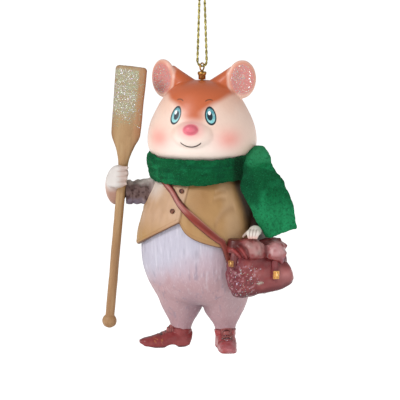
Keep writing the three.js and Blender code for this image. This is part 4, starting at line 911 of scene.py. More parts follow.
# The sleeves: two castings of the arms, pegged into the chest and modelled as gathered cloth. They are
# painted dark brown and dry-brushed with pale grey along their folds. A pale grey painted highlight lies
# over their tops, and the left sleeve is painted darker, as painted shade.
RIGHT_ARM = [(-8, 0.5, 50.6, 4.6), (-13, -0.4, 50.8, 4.6), (-18, -1.8, 50.6, 4.1), (-24, -3.6, 50.4, 3.5)]
LEFT_ARM = [(8, 0.5, 51.2, 4.2), (14.2, 0.4, 51, 4.2), (18.4, -1, 47.4, 3.9), (19.3, -4.4, 44, 3.1),
            (18.9, -8.4, 42.6, 2), (19.1, -11.3, 41.4, 1.3)]
SLEEVE_STEPS = 110


def curve(places, count):
    """A smooth line through places at even steps, with any further sizes carried along it."""
    places = np.asarray(places, float)
    chords = np.sqrt(np.linalg.norm(np.diff(places[:, :3], axis=0), axis=1))
    table = np.hstack([np.concatenate([[0], np.cumsum(chords)])[:, None], places])
    fine = eased(table, np.linspace(0, table[-1, 0], 60 * len(places)))
    travelled = travelled_along(fine[:, :3])
    stops = np.linspace(0, travelled[-1], count)
    return joined(*[np.interp(stops, travelled, column) for column in fine.T])


sleeve_paint = brushed_finish("sleeve_paint", 2.2, 5, 0.12, roughness=0.55, specular_ior_level=0.25)
for name, stations in (("right", RIGHT_ARM), ("left", LEFT_ARM)):
    right, left = name == "right", name == "left"
    path = curve(stations, SLEEVE_STEPS)
    share = np.linspace(0, 1, SLEEVE_STEPS)
    gathers = 0.3 * step(0.86, 0.9, share) + 0.07 * np.sin(share * 42) * step(0.3, 0.5, share)
    sleeve = tube(path[:, :3], path[:, 3] + gathers * right, 72)
    p = sleeve[0]
    x, y, z = p.T
    folds = cloud(p, 1.7, 14, (0.8, 1.5, 1.5))
    sleeve = pushed(sleeve, 0.26 * folds + 0.1 * cloud(p, 0.8, 15))
    mottle = 0.7 * cloud(p, 1.1, 16) + 0.5 * cloud(p, 0.5, 17)
    cloth = painted(
        # The left sleeve is painted darker than the right one: painted shade.
        p, "6d5754" if right else "4a382f",
        ("3a2221", 0.88 * step(-0.1, 0.5, mottle - 0.5 * folds)),
        # Dry-brushed pale grey on the folds, mostly left off the left sleeve as painted shade.
        ("ab9791", 0.75 * step(0.15, 0.7, folds) * (1 if right else 0.15)),
        ("85809a", 0.5 * step(49.5, 47.2, z + mottle) * right),
        # Painted shade, near black, on the front of the left sleeve beside the paw.
        ("24140f", 0.9 * step(-3, -6, y) * left),
        # Painted highlight in pale grey over the tops of the sleeves, and on the outside of the right one.
        ("d8ccc6", 0.75 * step(52.6, 54.6, z + 0.8 * mottle)),
        ("d8ccc6", 0.6 * step(-16.5, -12.5, x) * step(50, 53, z) * right),
    )
    piece(name + "_sleeve_casting", sleeve, sleeve_paint, name + "_sleeve", paint=cloth)

# The paws: the right one closes round the oar, with its fingers over the front of the shaft, and the
# left one lies on the bag. Both are small castings glued to the sleeves and painted cream.
SHAFT_RADIUS = 1.45
OAR_FOOT = (-29, -6.5, 7.1)
OAR_TILT = np.radians(5.4)
RIGHT_PALM = [((-26.8, -4.3, 52.6), (3.7, 3, 6.3)), ((-25.2, -7.6, 57), (3.2, 2.5, 2.7)),
              ((-26, -7.5, 54.8), (3.6, 2.4, 2.7))]
RIGHT_FINGERS, RIGHT_FINGER_RADIUS = (53.6, 55.4, 57.1, 58.7), 1.05
LEFT_PALM, LEFT_PALM_REACH = (19.5, -13.4, 40.9), (2.0, 2.7, 1.75)
LEFT_FINGER_RADIUS, LEFT_FINGER_SPACING = 0.66, 0.98
PAW_GRAIN = 0.17


def limb(places, count, sides, thick=1.0):
    """A round limb through places that carry their radius."""
    path = curve(places, count)
    return tube(path[:, :3], thick * path[:, 3], sides)


paw_paint = brushed_finish("paw_paint", 2.4, 4, 0.05, roughness=0.42)
parts = [ball(at, reach) for at, reach in RIGHT_PALM]
stand = SHAFT_RADIUS + GAP + RIGHT_FINGER_RADIUS
for height in RIGHT_FINGERS:
    x, y = OAR_FOOT[0] + (height - OAR_FOOT[2]) * np.tan(OAR_TILT), OAR_FOOT[1]
    inset = 0.5 * (height - RIGHT_FINGERS[0])
    tip = (x + 1.9, y - stand + 0.8, height + 0.2)
    parts += [limb([(x - stand - 1.4 + inset, y + 1.8, height - 0.3, 1),
                    (x - stand - 0.9 + inset, y - 1, height, 1),
                    (x - 1, y - stand - 0.3, height, 1), (*tip, 0.55)], 40, 24, 0.92 * RIGHT_FINGER_RADIUS),
              ball(tip, (0.6, 0.6, 0.6), 20)]
right_paw = cast(parts, PAW_GRAIN, 3)
right_paw = relaxed(right_paw, 0.2 + 0.8 * step(-22.8, -25.4, right_paw[0][:, 0]), 55)
p = right_paw[0]
x, y, z = p.T
# Painted shade in the creases between the fingers.
finger_crease_shade = [("b08d80", 0.5 * bell(z, (low + high) / 2, 0.2) * step(-5.8, -7, y) * step(-25.7, -24.4, x))
           for low, high in zip(RIGHT_FINGERS, RIGHT_FINGERS[1:])]
skin_tone = painted(
    p, "d3ccc7",
    ("9c6a52", 0.9 * step(53.4, 50.4, z + 0.6 * cloud(p, 1.5, 18))),
    # Painted shade on the paw's outer side, below the top finger.
    ("c9a797", 0.6 * step(-28.2, -30.2, x) * step(57, 54, z)),
    # Painted shade on the paw's inner side, towards the body.
    ("c9a496", 0.5 * step(-24.8, -23.4, x)),
    *finger_crease_shade,
)
piece("right_paw", right_paw, paw_paint, "right_hand", paint=skin_tone)
parts = [ball(LEFT_PALM, LEFT_PALM_REACH)]
palm_x, palm_y, palm_z = LEFT_PALM
for number in (-1.5, -0.5, 0.5, 1.5):
    across = number * LEFT_FINGER_SPACING
    tip = (palm_x + across * 0.8, palm_y - 3.9, palm_z - 1.45)
    parts += [limb([(palm_x + across * 0.7, palm_y - 1, palm_z + 0.4, 1),
                    (palm_x + across * 0.95, palm_y - 3, palm_z - 0.1, 1), (*tip, 0.6)],
                   30, 22, LEFT_FINGER_RADIUS),
              ball(tip, (0.42, 0.42, 0.42), 18)]
thumb = [(-1.5, -1.2, 0.3, 0.5), (-2.7, -1.9, -0.8, 0.42), (-3.5, -2.3, -1.7, 0.3)]
parts.append(limb(np.add(thumb, (*LEFT_PALM, 0)), 24, 18))
left_paw = cast(parts, PAW_GRAIN, 4)
p = left_paw[0]
x, y, z = p.T
# Painted shade in the creases between the fingers.
finger_crease_shade = [("97807a", 0.8 * bell(x, palm_x + number * LEFT_FINGER_SPACING, 0.2)
            * step(palm_y - 1.4, palm_y - 2.6, y)) for number in (-1, 0, 1)]
skin_tone = painted(
    p, "ddd5cb",
    *finger_crease_shade,
    ("d9a99d", 0.7 * step(palm_z - 0.5, palm_z - 1.5, z)),
    ("a88c81", 0.6 * step(palm_x - 2, palm_x - 2.5, x)),
)
piece("left_paw", left_paw, paw_paint, "left_hand", paint=skin_tone)

# The oar: one casting of a flat blade, a round shaft and a knob at its foot, painted as light wood,
# with frosty glitter brushed over the top of the blade. It is glued through the right paw.
OAR_LENGTH = 83.9
# Along the oar from its foot: half width, half thickness and squareness of the section.
OAR_SECTIONS = [(4.05, 1.5, 1.5, 2), (4.6, 1.45, 1.45, 2), (50, 1.45, 1.45, 2), (53.4, 1.6, 1.4, 2.2),
                (56, 2.2, 1.25, 3), (58.6, 3.1, 1.1, 4), (61, 4.2, 1, 5), (62.6, 4.6, 0.95, 6),
                (72, 4.8, 0.95, 6), (82.6, 5, 0.95, 6)]
KNOB_RADIUS = 2.3
BLADE_CORNER = 1.2
across_oar = np.array([np.cos(OAR_TILT), 0, -np.sin(OAR_TILT)])
along_oar = np.array([np.sin(OAR_TILT), 0, np.cos(OAR_TILT)])
around = angles(72)
stations = [(KNOB_RADIUS - KNOB_RADIUS * np.cos(t), KNOB_RADIUS * np.sin(t), KNOB_RADIUS * np.sin(t), 2)
            for t in np.linspace(0.06, 2.35, 26)]
for up in np.concatenate([np.linspace(4.1, 51, 130), np.linspace(51.4, 82.9, 100)]):
    stations.append((up, *eased(OAR_SECTIONS, up)))
for turn in np.linspace(0, np.pi / 2, 9)[1:]:
    inset = 1 - np.cos(turn)
    stations.append((OAR_LENGTH - BLADE_CORNER + BLADE_CORNER * np.sin(turn) * 0.98,
                     OAR_SECTIONS[-1][1] - BLADE_CORNER * inset, OAR_SECTIONS[-1][2] - 0.35 * inset, 6))
rings = []
for lay, half, thick, square in stations:
    x, y = half * squared(np.cos(around), square), thick * squared(np.sin(around), square)
    rings.append(np.asarray(OAR_FOOT) + lay * along_oar + x[:, None] * across_oar + y[:, None] * (0, 1, 0))
oar = skin(rings)
p = oar[0]
local = joined((p - OAR_FOOT) @ across_oar, p[:, 1] - OAR_FOOT[1], (p - OAR_FOOT) @ along_oar)
off, deep, lay = local.T
grain = cloud(local, 0.7, 20, (1, 1, 12))
oar = pushed(oar, 0.06 * grain + 0.05 * cloud(local, 2.5, 21))
half_here = np.interp(lay, *np.transpose(OAR_SECTIONS)[:2])
rim = step(0.72, 0.97, np.abs(off) / half_here) * step(55, 60, lay)
on_front = step(0.2, -0.4, deep)
frost_edge = step(65.5, 71, lay + 1.6 * cloud(local, 1.6, 22)) * step(83.3, 82.4, lay)
frost = frost_edge * step(3.3, 2.1, off) * on_front
frost_thin = step(63, 68, lay + 2 * cloud(local, 1.2, 23)) * on_front * step(4.9, 4.2, off)
wood = painted(
    p, "a68258",
    ("8d673f", 0.5 * step(0.1, 0.7, grain)),
    ("b99a70", 0.5 * step(-0.1, -0.7, grain)),
    ("a07048", 0.35 * step(50, 20, lay)),
    ("835a36", 0.65 * rim),
    ("8a6038", 0.5 * step(82.6, 84, lay)),
    ("a5673e", 0.55 * step(1.9, 3, off + 0.3 * cloud(local, 3, 27)) * step(58, 66, lay)),
    ("9f9678", 0.7 * frost * step(-0.9, 0.3, cloud(local, 0.8, 24)) + 0.15 * frost_thin),
    ("a8a893", 0.5 * frost * step(0.1, 0.7, cloud(local, 0.6, 29))),
)
oar_paint, tree, shader, place, paint = painted_resin("oar_paint", roughness=0.5)
relief = relief_of(tree, noise(tree, stretched(tree, place, (1, 1, 0.12)), 2.6, 3), 0.1)
glittered(tree, shader, place, paint, 0.18, relief, 0.5, (0.55, 0.5, 0.38, 1))
piece("painted_oar", oar, oar_paint, "oar", paint=wood, glitter=np.clip(0.5 * frost + 0.1 * frost_thin, 0, 1))

# The tail: a thin casting in a curl, glued to the seat of the trousers behind the figure. It is painted
# in a flesh tone, with faint rings along it.
TAIL = [(0, 12.8, 22.4, 1.7), (-2.4, 16.6, 19.6, 1.5), (-5.8, 17.6, 15.4, 1.25), (-8.4, 15.6, 11.4, 1),
        (-8.6, 12.4, 9, 0.7), (-6.8, 10.2, 9.2, 0.4)]
TAIL_RING_DEPTH, TAIL_RING_PACE = 0.05, 1.25
path = curve(TAIL, 240)
rings_on_tail = TAIL_RING_DEPTH * np.sin(np.arange(240) * TAIL_RING_PACE)
tail = gathered(tube(path[:, :3], path[:, 3] + rings_on_tail, 36),
                ball(path[-1, :3], [TAIL[-1][3]] * 3, 24))
flesh = painted(tail[0], "dca99b", ("c98678", 0.6 * step(0, 0.7, cloud(tail[0], 1.4, 26))))
tail_paint = brushed_finish("tail_paint", 2.5, 4, 0.05, roughness=0.45)
piece("tail_casting", tail, tail_paint, "tail", paint=flesh)

# The satchel: a bag casting with a crumpled flap, two closing tabs and two gold-painted buckles, all
# glued together at the figure's left hip, and painted maroon with rosy highlights.
SATCHEL_AT = (21, -12.2, 28.4)
SATCHEL_WAYS = np.array([(0.8976, 0.4378, -0.0523), (-0.4384, 0.8988, 0), (0.047, 0.0229, 0.9986)])
# The bag from its bottom up: height, place aside, half width, and depths in front and behind.
SATCHEL = [(-8.6, 0, 7.8, 2, 2), (-7.8, 0, 9.5, 3.5, 3.2), (-4.6, 0, 10.5, 4.5, 3.7),
           (-0.5, -0.4, 10.1, 4.4, 3.7), (2.6, -1.1, 9.1, 3.9, 3.5), (5.4, -1.7, 8.2, 3, 3),
           (7.4, -2, 7.6, 1.9, 2.1)]
SATCHEL_SQUARENESS = 3.4
SATCHEL_SWEEP, SATCHEL_TAPER = 4.6, 1.5
SATCHEL_LOW, SATCHEL_HIGH, SATCHEL_WIDEST = -8.6, 7.4, 10.5
FLAP_WALL, FLAP_EDGE, FLAP_LIFT, FLAP_SEAM = 0.9, 2.8, 1.4, 6.2
PUFFS, PUFF_REACH = ((-3.6, 1.2), (3.8, 0.5)), (3.9, 4.6, 3.6)
# At the near end the flap's edge slopes up. Each closing tab: its turn from the bag's front, place aside
# and top, the drop of its buckle, and the buckle's width and height.
FLAP_SLOPE = (-5.2, -9.2, 2.8)
TABS = [(np.radians(45), -4.8, 4.7, 2.4, 2.2, 2.2), (0.0, 3.4, 2.5, 3.2, 2.4, 2.9)]
# The bars of a buckle, between places given as shares of its half width and height.
BUCKLE_BARS = [((-1, -1), (1, -1)), ((1, -1), (1, 1)), ((1, 1), (-1, 1)), ((-1, 1), (-1, -1)),
               ((0, -1), (0, 1))]
TAB_WIDTH, TAB_THICKNESS, BUCKLE_BAR, BUCKLE_THICKNESS = 1.9, 0.6, 0.5, 0.6
BAG_GRAIN = 0.24
SWEEP_CURVE = 1.6


def at_hip(points):
    """Places in the satchel's own frame, hung at the hip."""
    return np.asarray(points) @ SATCHEL_WAYS + SATCHEL_AT


def bag_ring(height, angle, grow=0.0, lift=0.0):
    """A ring of the bag's form in its own frame. Its bottom sweeps up towards the outer end."""
    sizes = eased(SATCHEL, np.broadcast_to(height, angle.shape))
    ring = oval(sizes[..., 1:], angle, height + lift, grow, SATCHEL_SQUARENESS)
    outward_share = np.clip((ring[..., 0] + SATCHEL_WIDEST) / (2 * SATCHEL_WIDEST), 0, 1)
    ring[..., 2] += SATCHEL_SWEEP * outward_share ** SWEEP_CURVE * np.maximum(0, height / SATCHEL_LOW)
    ring[..., 0] += SATCHEL_TAPER * step(-2, SATCHEL_LOW, height) * step(-4, -9, ring[..., 0])
    ring[..., 0] += sizes[..., 0]
    return ring


def bag_reach(turn, aside, height):
    """How far out the bag reaches at places aside and heights, towards a side turned from its front."""
    sizes = eased(SATCHEL, height)
    s, c = np.sin(turn), np.cos(turn)
    near, far = np.full(np.shape(height), 2.0), np.full(np.shape(height), 2 * SATCHEL_WIDEST)
    for _ in range(24):
        out = (near + far) / 2
        x = (aside * c - out * s - sizes[..., 0]) / sizes[..., 1]
        y = aside * s + out * c
        y = y / np.where(y > 0, sizes[..., 2], sizes[..., 3])
        within = np.abs(x) ** SATCHEL_SQUARENESS + np.abs(y) ** SATCHEL_SQUARENESS < 1
        near, far = np.where(within, out, near), np.where(within, far, out)
    return near


round_bag = angles(200)
bag_rows = np.linspace(SATCHEL_LOW, SATCHEL_HIGH, 90)
bag = cast([skin([bag_ring(height, round_bag) for height in bag_rows])], BAG_GRAIN, 4)
p = bag[0]
x, y, z = p.T
front = step(-0.5, -2, y)
swept = np.clip((x + 10) / 20, 0, 1) ** SWEEP_CURVE
bottom_seam = bell(z, 4.2 * swept - 7.4, 0.28) * front
lumps = cloud(p, 2.6, 31)
near_crumple = step(-3.5, -7, x) * step(-5, 0, z)
far_bulge = step(5, 9, x) * bell(z, 0.6, 2.6)
bag = pushed(bag, 0.3 * lumps + 0.12 * cloud(p, 1.1, 32) + 0.25 * bottom_seam + 0.6 * far_bulge
             + 0.35 * near_crumple * cloud(p, 1.3, 33))
low_edge = z - 4 * swept
frost = step(-0.5, -3.5, x + 0.5 * cloud(p, 1.5, 34)) * step(3, 0.5, z) * front
crackle = cloud(p, 0.55, 35)
glint = stroke(x, z, (-1.5, -3.3), (-0.7, -3), 0.1, 0.36) * front
hide = painted(
    p, "84383a",
    ("a25754", 0.6 * front * step(-0.3, 0.6, lumps) * step(-8, -3, x)),
    ("cb8583", 0.75 * front * step(3, 8, x) * step(2.5, -1, z)),
    # Painted shade towards the bag's bottom, darkest along its lower edge.
    ("7b3034", 0.6 * step(-3, -5.5, low_edge) * step(-2, 2, x)),
    ("521820", 0.8 * step(-5.4, -7.4, low_edge)),
    # Painted shadow under the edge of the flap, on the front.
    ("6a2326", 0.8 * front * step(0.8, 2.6, z) * step(-4, 0, x)),
    ("6c2736", 0.6 * step(-5.5, -9, x)),
    ("bd9098", 0.6 * frost * step(0.25, 0.6, crackle)),
    ("4f1f2b", 0.55 * frost * step(-0.2, -0.6, crackle)),
    ("b3ae9d", 0.8 * glint),
)
piece("satchel_casting", (at_hip(bag[0]), bag[1]), leather, "satchel_body", paint=hide,
      glitter=np.clip(0.07 * frost + 0.3 * glint, 0, 1))

# The folds of the flap, from place to place across and up its front: bow and width of each.
VALLEYS = [((0.4, 8.8), (0.2, 3.2), 0.3, 0.55), ((-9.2, 7.4), (-6.2, 3), 0.5, 0.45),
           ((-10.4, 6), (-8, 2.6), 0.3, 0.45), ((-7.4, 8.6), (-5.2, 4.4), 0.4, 0.45),
           ((8.2, 6.4), (6.4, 3), -0.5, 0.45)]
RIDGES = [((-9.9, 7), (-7, 2.8), 0.4, 0.45), ((-8.2, 7.8), (-5.6, 3.4), 0.5, 0.45),
          ((7.4, 6.4), (5.4, 2.8), -0.5, 0.45)]
# The puffs of the flap, rubbed paler and with painted highlight on them: middle aside and up, and half width
# and height.
RUBBED_AND_LIT_PUFFS = [(-2.9, 7.5, 3.2, 2.8), (4.3, 7.3, 3.2, 2.2), (6.3, 4.3, 1.1, 0.8)]
FAR_CORNER = [(4.4, 0.2, 7, 2), (6.6, -0.2, 7.8, 1.5), (8.2, -0.6, 7.5, 0.5)]
BACK_FOLD = [(-1.5, 1.4, 7.2, 1.4), (2, 1.6, 8.4, 1.5), (6.4, 0.8, 8.8, 1.5)]
edge = FLAP_EDGE + FLAP_LIFT - 1.1 * np.sin(round_bag) + 0.2 * np.sin(5 * round_bag + 1)
edge = edge + (FLAP_SEAM - edge) * step(-0.1, 0.5, -np.cos(round_bag))
near_end = step(FLAP_SLOPE[0], FLAP_SLOPE[1], bag_ring(FLAP_EDGE, round_bag)[:, 0])
edge = np.maximum(edge, FLAP_EDGE + FLAP_SLOPE[2] * near_end)
full = 1.2 + 1.3 * step(3, -2, SATCHEL_WIDEST * np.sin(round_bag))
rows = [bag_ring(edge + (SATCHEL_HIGH - edge) * share, round_bag, GAP + FLAP_WALL, full * share ** 3)
        for share in np.linspace(0, 1, 40)]
parts = [skin(rows)]
parts += [ball((x, -0.6, SATCHEL_HIGH - PUFF_REACH[2] / 2 + lift), PUFF_REACH) for x, lift in PUFFS]
parts += [limb(FAR_CORNER, 24, 24), limb(BACK_FOLD, 30, 24)]
flap = cast(parts, BAG_GRAIN, 4)
x, y, z = flap[0].T
near_top = step(-6, -8, x) * step(6.4, 7.4, z)
flap = relaxed(flap, np.maximum(step(7.2, 9, x) * step(6.2, 5, z), near_top), 24)
p = flap[0]
x, y, z = p.T
x -= 0.6 * bell(z, 6.6, 1) * step(6.2, 8.5, x) + step(5.4, 3.8, z) * step(6.5, 9, x)
valley, ridge = (sum(stroke(x, z, *fold) for fold in folds) * step(1.5, -0.5, y)
                 for folds in (VALLEYS, RIDGES))
above_edge = z - FLAP_EDGE - FLAP_LIFT + 0.11 * x
edge_roll = bell(above_edge, 0.4, 0.35) * step(-1, -2.5, y)
uneven = 0.28 * cloud(p, 1.9, 36) + 0.12 * cloud(p, 0.9, 37)
uneven_share = 1 - 0.6 * step(6.5, 8.5, x) - 0.7 * near_top
flap = pushed(flap, uneven * uneven_share - 0.5 * valley + 0.45 * ridge + 0.15 * edge_roll)
near_puff, far_puff, small_puff = (
    np.exp(-np.abs((x - middle) / half) ** 3 - np.abs((z - level) / tall) ** 3) * step(1.6, 0, y)
    for middle, level, half, tall in RUBBED_AND_LIT_PUFFS)
# Patches where the puffs are rubbed paler and carry painted highlight.
rubbing_and_highlight = step(-1, 0.1, cloud(p, 1.4, 38))
sparkle = stroke(x, z, (6.2, 4.4), (7.2, 3.6), 0, 0.5) * step(-0.5, -2, y)
hide = painted(
    p, "85302f",
    # Paler rubbed paint and painted highlight on the puffs, palest on the far one.
    ("b78885", 0.9 * near_puff * rubbing_and_highlight),
    ("a28781", 0.6 * near_puff * step(0, 0.6, cloud(p, 1.6, 28))),
    ("cb9799", 0.95 * far_puff * rubbing_and_highlight),
    ("e6c8c8", 0.6 * far_puff * step(0.1, 0.7, cloud(p, 1.1, 30))),
    # Painted shade in the flap's valleys, and painted highlight on its ridges.
    ("571518", 0.75 * np.clip(valley, 0, 1)),
    ("9f3f3e", 0.65 * np.clip(ridge, 0, 1)),
    # Painted shade along the flap's rolled lower edge.
    ("762728", 0.7 * step(0.75, 0.1, above_edge) * step(-1, -2, y)),
    ("a17f8b", 0.75 * small_puff),
    # Painted shade: the far top corner, the back of the flap against the body, and the near top corner.
    ("4b161b", 0.85 * step(7.4, 8.4, x) * step(6, 7, z)),
    ("521a1d", 0.85 * step(0.6, 1.6, y)),
    ("41120f", 0.8 * step(-6.8, -8.4, x) * step(6.8, 7.8, z)),
)
piece("satchel_flap_casting", (at_hip(flap[0]), flap[1]), leather, "satchel_flap", paint=hide,
      glitter=0.35 * np.clip(sparkle, 0, 1))

gold, tree, shader, place, paint = painted_resin("gold_paint", metallic=0.35, roughness=0.35)
worn = ranged(tree, noise(tree, place, 1.7, 4), 0.5, 0.68)
laid_on(tree, shader, mixed(tree, worn, paint, "a96c34"), noise(tree, place, 3, 3), 0.03)
# The paint of each tab, and of each buckle, with its lighter coat; on a buckle that coat is a painted
# highlight. The first ones lie in the shade, and are painted darker as painted shade.
TAB_COLOURS = [("73393a", "96594f"), ("7a3236", "8d4648")]
GILT_COLOURS = [("a87343", "e3b66c"), ("ecb466", "ffdf9c")]
for number, (turn, aside, top, drop, wide, tall) in enumerate(TABS, 1):
    def on_side(points):
        """Places in the frame of one side of the bag, with x across it and -y out of it, hung at the hip."""
        return at_hip(turned_about(np.asarray(points, float) + (aside, 0, 0), -turn))

    rows = []
    foot = top - drop - tall / 2 - 0.2
    share = np.linspace(-1, 1, 15)
    for height in np.linspace(top + 1.4, foot, 60):
        tip = np.clip((height - foot) / 0.9, 0, 1)
        across = share * TAB_WIDTH / 2 * np.sqrt(1 - (1 - tip) ** 2 * 0.85)
        level = np.full(len(share), height)
        over = -bag_reach(turn, aside + across, level) - GAP
        stitched = 0.08 * bell(np.abs(share), 0.72, 0.1)
        outer = over - TAB_THICKNESS * (1 - 0.25 * share ** 6) + stitched
        rows.append(np.vstack([joined(across, over + 0.5, level), joined(across, outer, level)[::-1]]))
    tab = skin(rows)
    dark, light = TAB_COLOURS[number - 1]
    hide = painted(tab[0], dark, (light, 0.5 * step(-0.2, 0.6, cloud(tab[0], 1.2, 39))))
    piece("closing_tab_of_bag_%d" % number, (on_side(tab[0]), tab[1]), leather, "closing_tab_%d" % number,
          paint=hide, glitter=np.zeros(len(hide)))
    level, wide, tall = top - drop + 0.4, 0.84 * wide, 0.88 * tall
    ends_of_buckle = level + np.array([-tall / 2, tall / 2])
    out = -bag_reach(turn, aside, ends_of_buckle).max() - 2 * GAP - TAB_THICKNESS - BUCKLE_THICKNESS / 2
    bars = []
    for bar in BUCKLE_BARS:
        start, end = [(sx * (wide - BUCKLE_BAR) / 2, out, level + sz * (tall - BUCKLE_BAR) / 2)
                      for sx, sz in bar]
        bars += [tube(np.linspace(start, end, 6), BUCKLE_BAR / 2, 14), ball(start, [BUCKLE_BAR / 2] * 3, 20)]
    bars.append(limb([(0.1, out, level + 0.4 * tall, 0.34), (0.15, out - 0.3, level, 0.42),
                      (0, out - 0.05, level - 0.42 * tall, 0.3)], 16, 16))
    bars.append(ball((0, out + 0.15, level), (wide / 2 - 0.15, 0.3, tall / 2 - 0.15), 30))
    buckle = gathered(*bars)
    x, y, z = buckle[0].T
    dark, light = GILT_COLOURS[number - 1]
    # On each buckle, painted highlight round its middle, and painted shade down one side.
    gilt = painted(
        buckle[0], dark,
        (light, step(0.5, 0.1, np.hypot(x - 0.2, z - level - 0.2))),
        ("9a5f2c", 0.7 * step(-0.55, -0.9, x / (wide / 2))),
    )
    piece("gold_buckle_%d" % number, (on_side(buckle[0]), buckle[1]), gold, "buckle_%d" % number, paint=gilt)

# The strap: a flat maroon band from the bag's near end, up across the chest and over the far shoulder,
# round the back, and down to the bag's other end. A ridge of it runs on over the front of the bag.
STRAP_LIE = [(28, 37.2), (8.9, 43), (-11.3, 48.7), (-28.6, 53.2), (-62, 56.2), (-95, 56.8), (-130, 55),
             (-160, 50.5), (-190, 45), (-222, 40.2), (-250, 37.4)]
# Its half width where it crosses the chest, by height: narrow at the shoulder and at the bag.
STRAP_HALVES = [(26, 0.85), (36, 0.95), (40, 1.2), (44, 1.3), (50, 0.95), (62, 0.95)]
STRAP_THICKNESS = 0.8
STRAP_BACK_HALF = 1.2
lie = curve([(angle, height, 0) for angle, height in STRAP_LIE], 60)
over_body = on_waistcoat(np.radians(lie[:, 0]), lie[:, 1], GAP + STRAP_THICKNESS / 2 - 0.15)
near_end, far_end = at_hip([(-10.2, -0.6, 2.6), (8, 0.6, 2.6)])
path = curve(np.vstack([near_end, over_body, far_end]), 460)
sizes = eased(TRUNK, path[:, 2])
out = joined(path[:, 0] / sizes[:, 0], path[:, 1] / sizes[:, 1], 0.35 * step(49.5, 50.5, path[:, 2]))
# Its section, as shares of the half width and heights off the path: flat below, with raised edges above.
upper = np.linspace(-1, 1, 17)
raised_edges = 0.1 * bell(np.abs(upper), 0.68, 0.14) - 0.18 * np.abs(upper) ** 8
section_share = np.append(np.linspace(1, -1, 7), upper)
section_height = np.append(np.full(7, -STRAP_THICKNESS / 2), STRAP_THICKNESS / 2 + raised_edges)
half = np.interp(path[:, 2], *np.transpose(STRAP_HALVES))
half = half + (STRAP_BACK_HALF - half) * step(-3, 3, path[:, 1])
along = unit(np.gradient(path, axis=0))
across = unit(np.cross(along, out))
out = unit(np.cross(across, along))
strap = skin(path[:, None] + across[:, None] * (section_share * half[:, None])[..., None]
             + out[:, None] * section_height[:, None])
p = strap[0]
z = p[:, 2]
share, off_path = (np.append(np.tile(column, len(path)), (0, 0))
                   for column in (section_share, section_height))
strap = pushed(strap, 0.07 * cloud(p, 1.6, 41) * step(0, 0.3, off_path))
high, low = step(45, 49, z), step(45, 42, z)
edge = 0.62 - 0.12 * high
hide = painted(
    p, "862c1e",
    ("9c5148", 0.7 * high),
    # Painted highlight along the middle of the strap's upper part.
    ("c99a92", 0.6 * high * bell(share, -0.05, 0.3)),
    ("74170c", 0.7 * step(46, 42, z) * bell(share, 0, 0.6)),
    ("7d3a33", 0.7 * step(37, 33, z)),
    ("a35b4c", 0.5 * low * step(0, -0.6, share)),
    ("652415", 0.5 * low * step(-0.2, 0.4, share)),
    ("48130f", 0.8 * step(edge, edge + 0.3, np.abs(share))),
    # Painted highlight along the strap's upper edge, on its lower half across the chest.
    ("c28d76", 0.8 * step(0.7, 0.85, share) * step(48.5, 46.5, z) * step(34, 37, z)),
)
piece("strap_over_shoulder", strap, leather, "satchel_strap", paint=hide, glitter=0 * share)

# The buttons: two small round castings with four holes, glued on the side of the waistcoat that laps
# over. They are painted dark brown, and worn to a lighter brown in places.
BUTTONS = {"upper": (-12.8, 52.7), "lower": (-18.9, 46.6)}
BUTTON_PROFILE = [(0.9, 0.0), (0.95, 0.1), (0.95, 0.34), (0.9, 0.47), (0.8, 0.55), (0.7, 0.56), (0.62, 0.48),
                  (0.5, 0.42), (0.35, 0.4), (0.2, 0.4), (0.08, 0.4)]
BUTTON_SCALE, BUTTON_HOLES, BUTTON_HOLE_AT = 0.82, 0.2, 0.24
button_paint, tree, shader, place = new_finish("button_paint", roughness=0.35)
worn = ranged(tree, noise(tree, place, 1.4, 3), 0.42, 0.66)
laid_on(tree, shader, mixed(tree, worn, "45190f", "8a5238"), noise(tree, place, 3, 3), 0.04)
for name, (angle, height) in BUTTONS.items():
    points, faces = spun(BUTTON_PROFILE, 40)
    x, y, z = points.T
    z -= BUTTON_HOLES * (z > 0.3) * sum(
        np.exp(-((x - sx * BUTTON_HOLE_AT) ** 2 + (y - sy * BUTTON_HOLE_AT) ** 2) / 0.012)
        for sx in (-1, 1) for sy in (-1, 1))
    points[:, :2] *= BUTTON_SCALE
    angle = np.radians(angle)
    side = unit(on_waistcoat(angle + 0.05, height) - on_waistcoat(angle - 0.05, height))
    rise = on_waistcoat(angle, height + 0.5) - on_waistcoat(angle, height - 0.5)
    facing = unit(np.cross(side, rise))
    placed = on_waistcoat(angle, height, GAP) + points @ np.array([side, np.cross(facing, side), facing])
    piece(name + "_button_on_waistcoat", (placed, faces), button_paint, name + "_button")

# The scarf: one strip of thick green felt, wrapped once round the neck, folded over the left shoulder,
# with one end hanging over the arm.
SCARF_FRONT_DROP, SCARF_BACK_DROP = 2, 1.4
SCARF_BAND, SCARF_THICKNESS, SCARF_LEAN = 9.2, 2.5, 0.6
SCARF_REACH = np.array([17.1, 16.4, 15.6])
SCARF_FOLD = [(13.6, 4.6, 60.6, 0.1, 0.1, 1, 3.6), (16, 0.4, 61.2, 0.4, 0.25, 0.9, 3.8),
              (17.4, -4, 61.5, 0.72, 0.3, 0.68, 4.5), (18.4, -7.4, 60.4, 0.92, 0.22, 0.36, 5.2)]
SCARF_END = [(19.3, -7.9, 59.2, 5), (20.4, -8.6, 55.4, 6.4), (22.8, -9.3, 51, 6.6), (24.8, -9.9, 46.6, 6.3),
             (27, -10.2, 40, 5.1)]
SCARF_END_ACROSS = np.array([0.93, 0.22, 0.31])
SCARF_CROWN = 1.2
FELT_GRAIN = 0.27
# The depth and the size of the felt's lumps, with the seed of each.
FELT_LUMPS = [(0.32, 3.6, 51), (0.2, 1.5, 52), (0.12, 0.7, 53)]
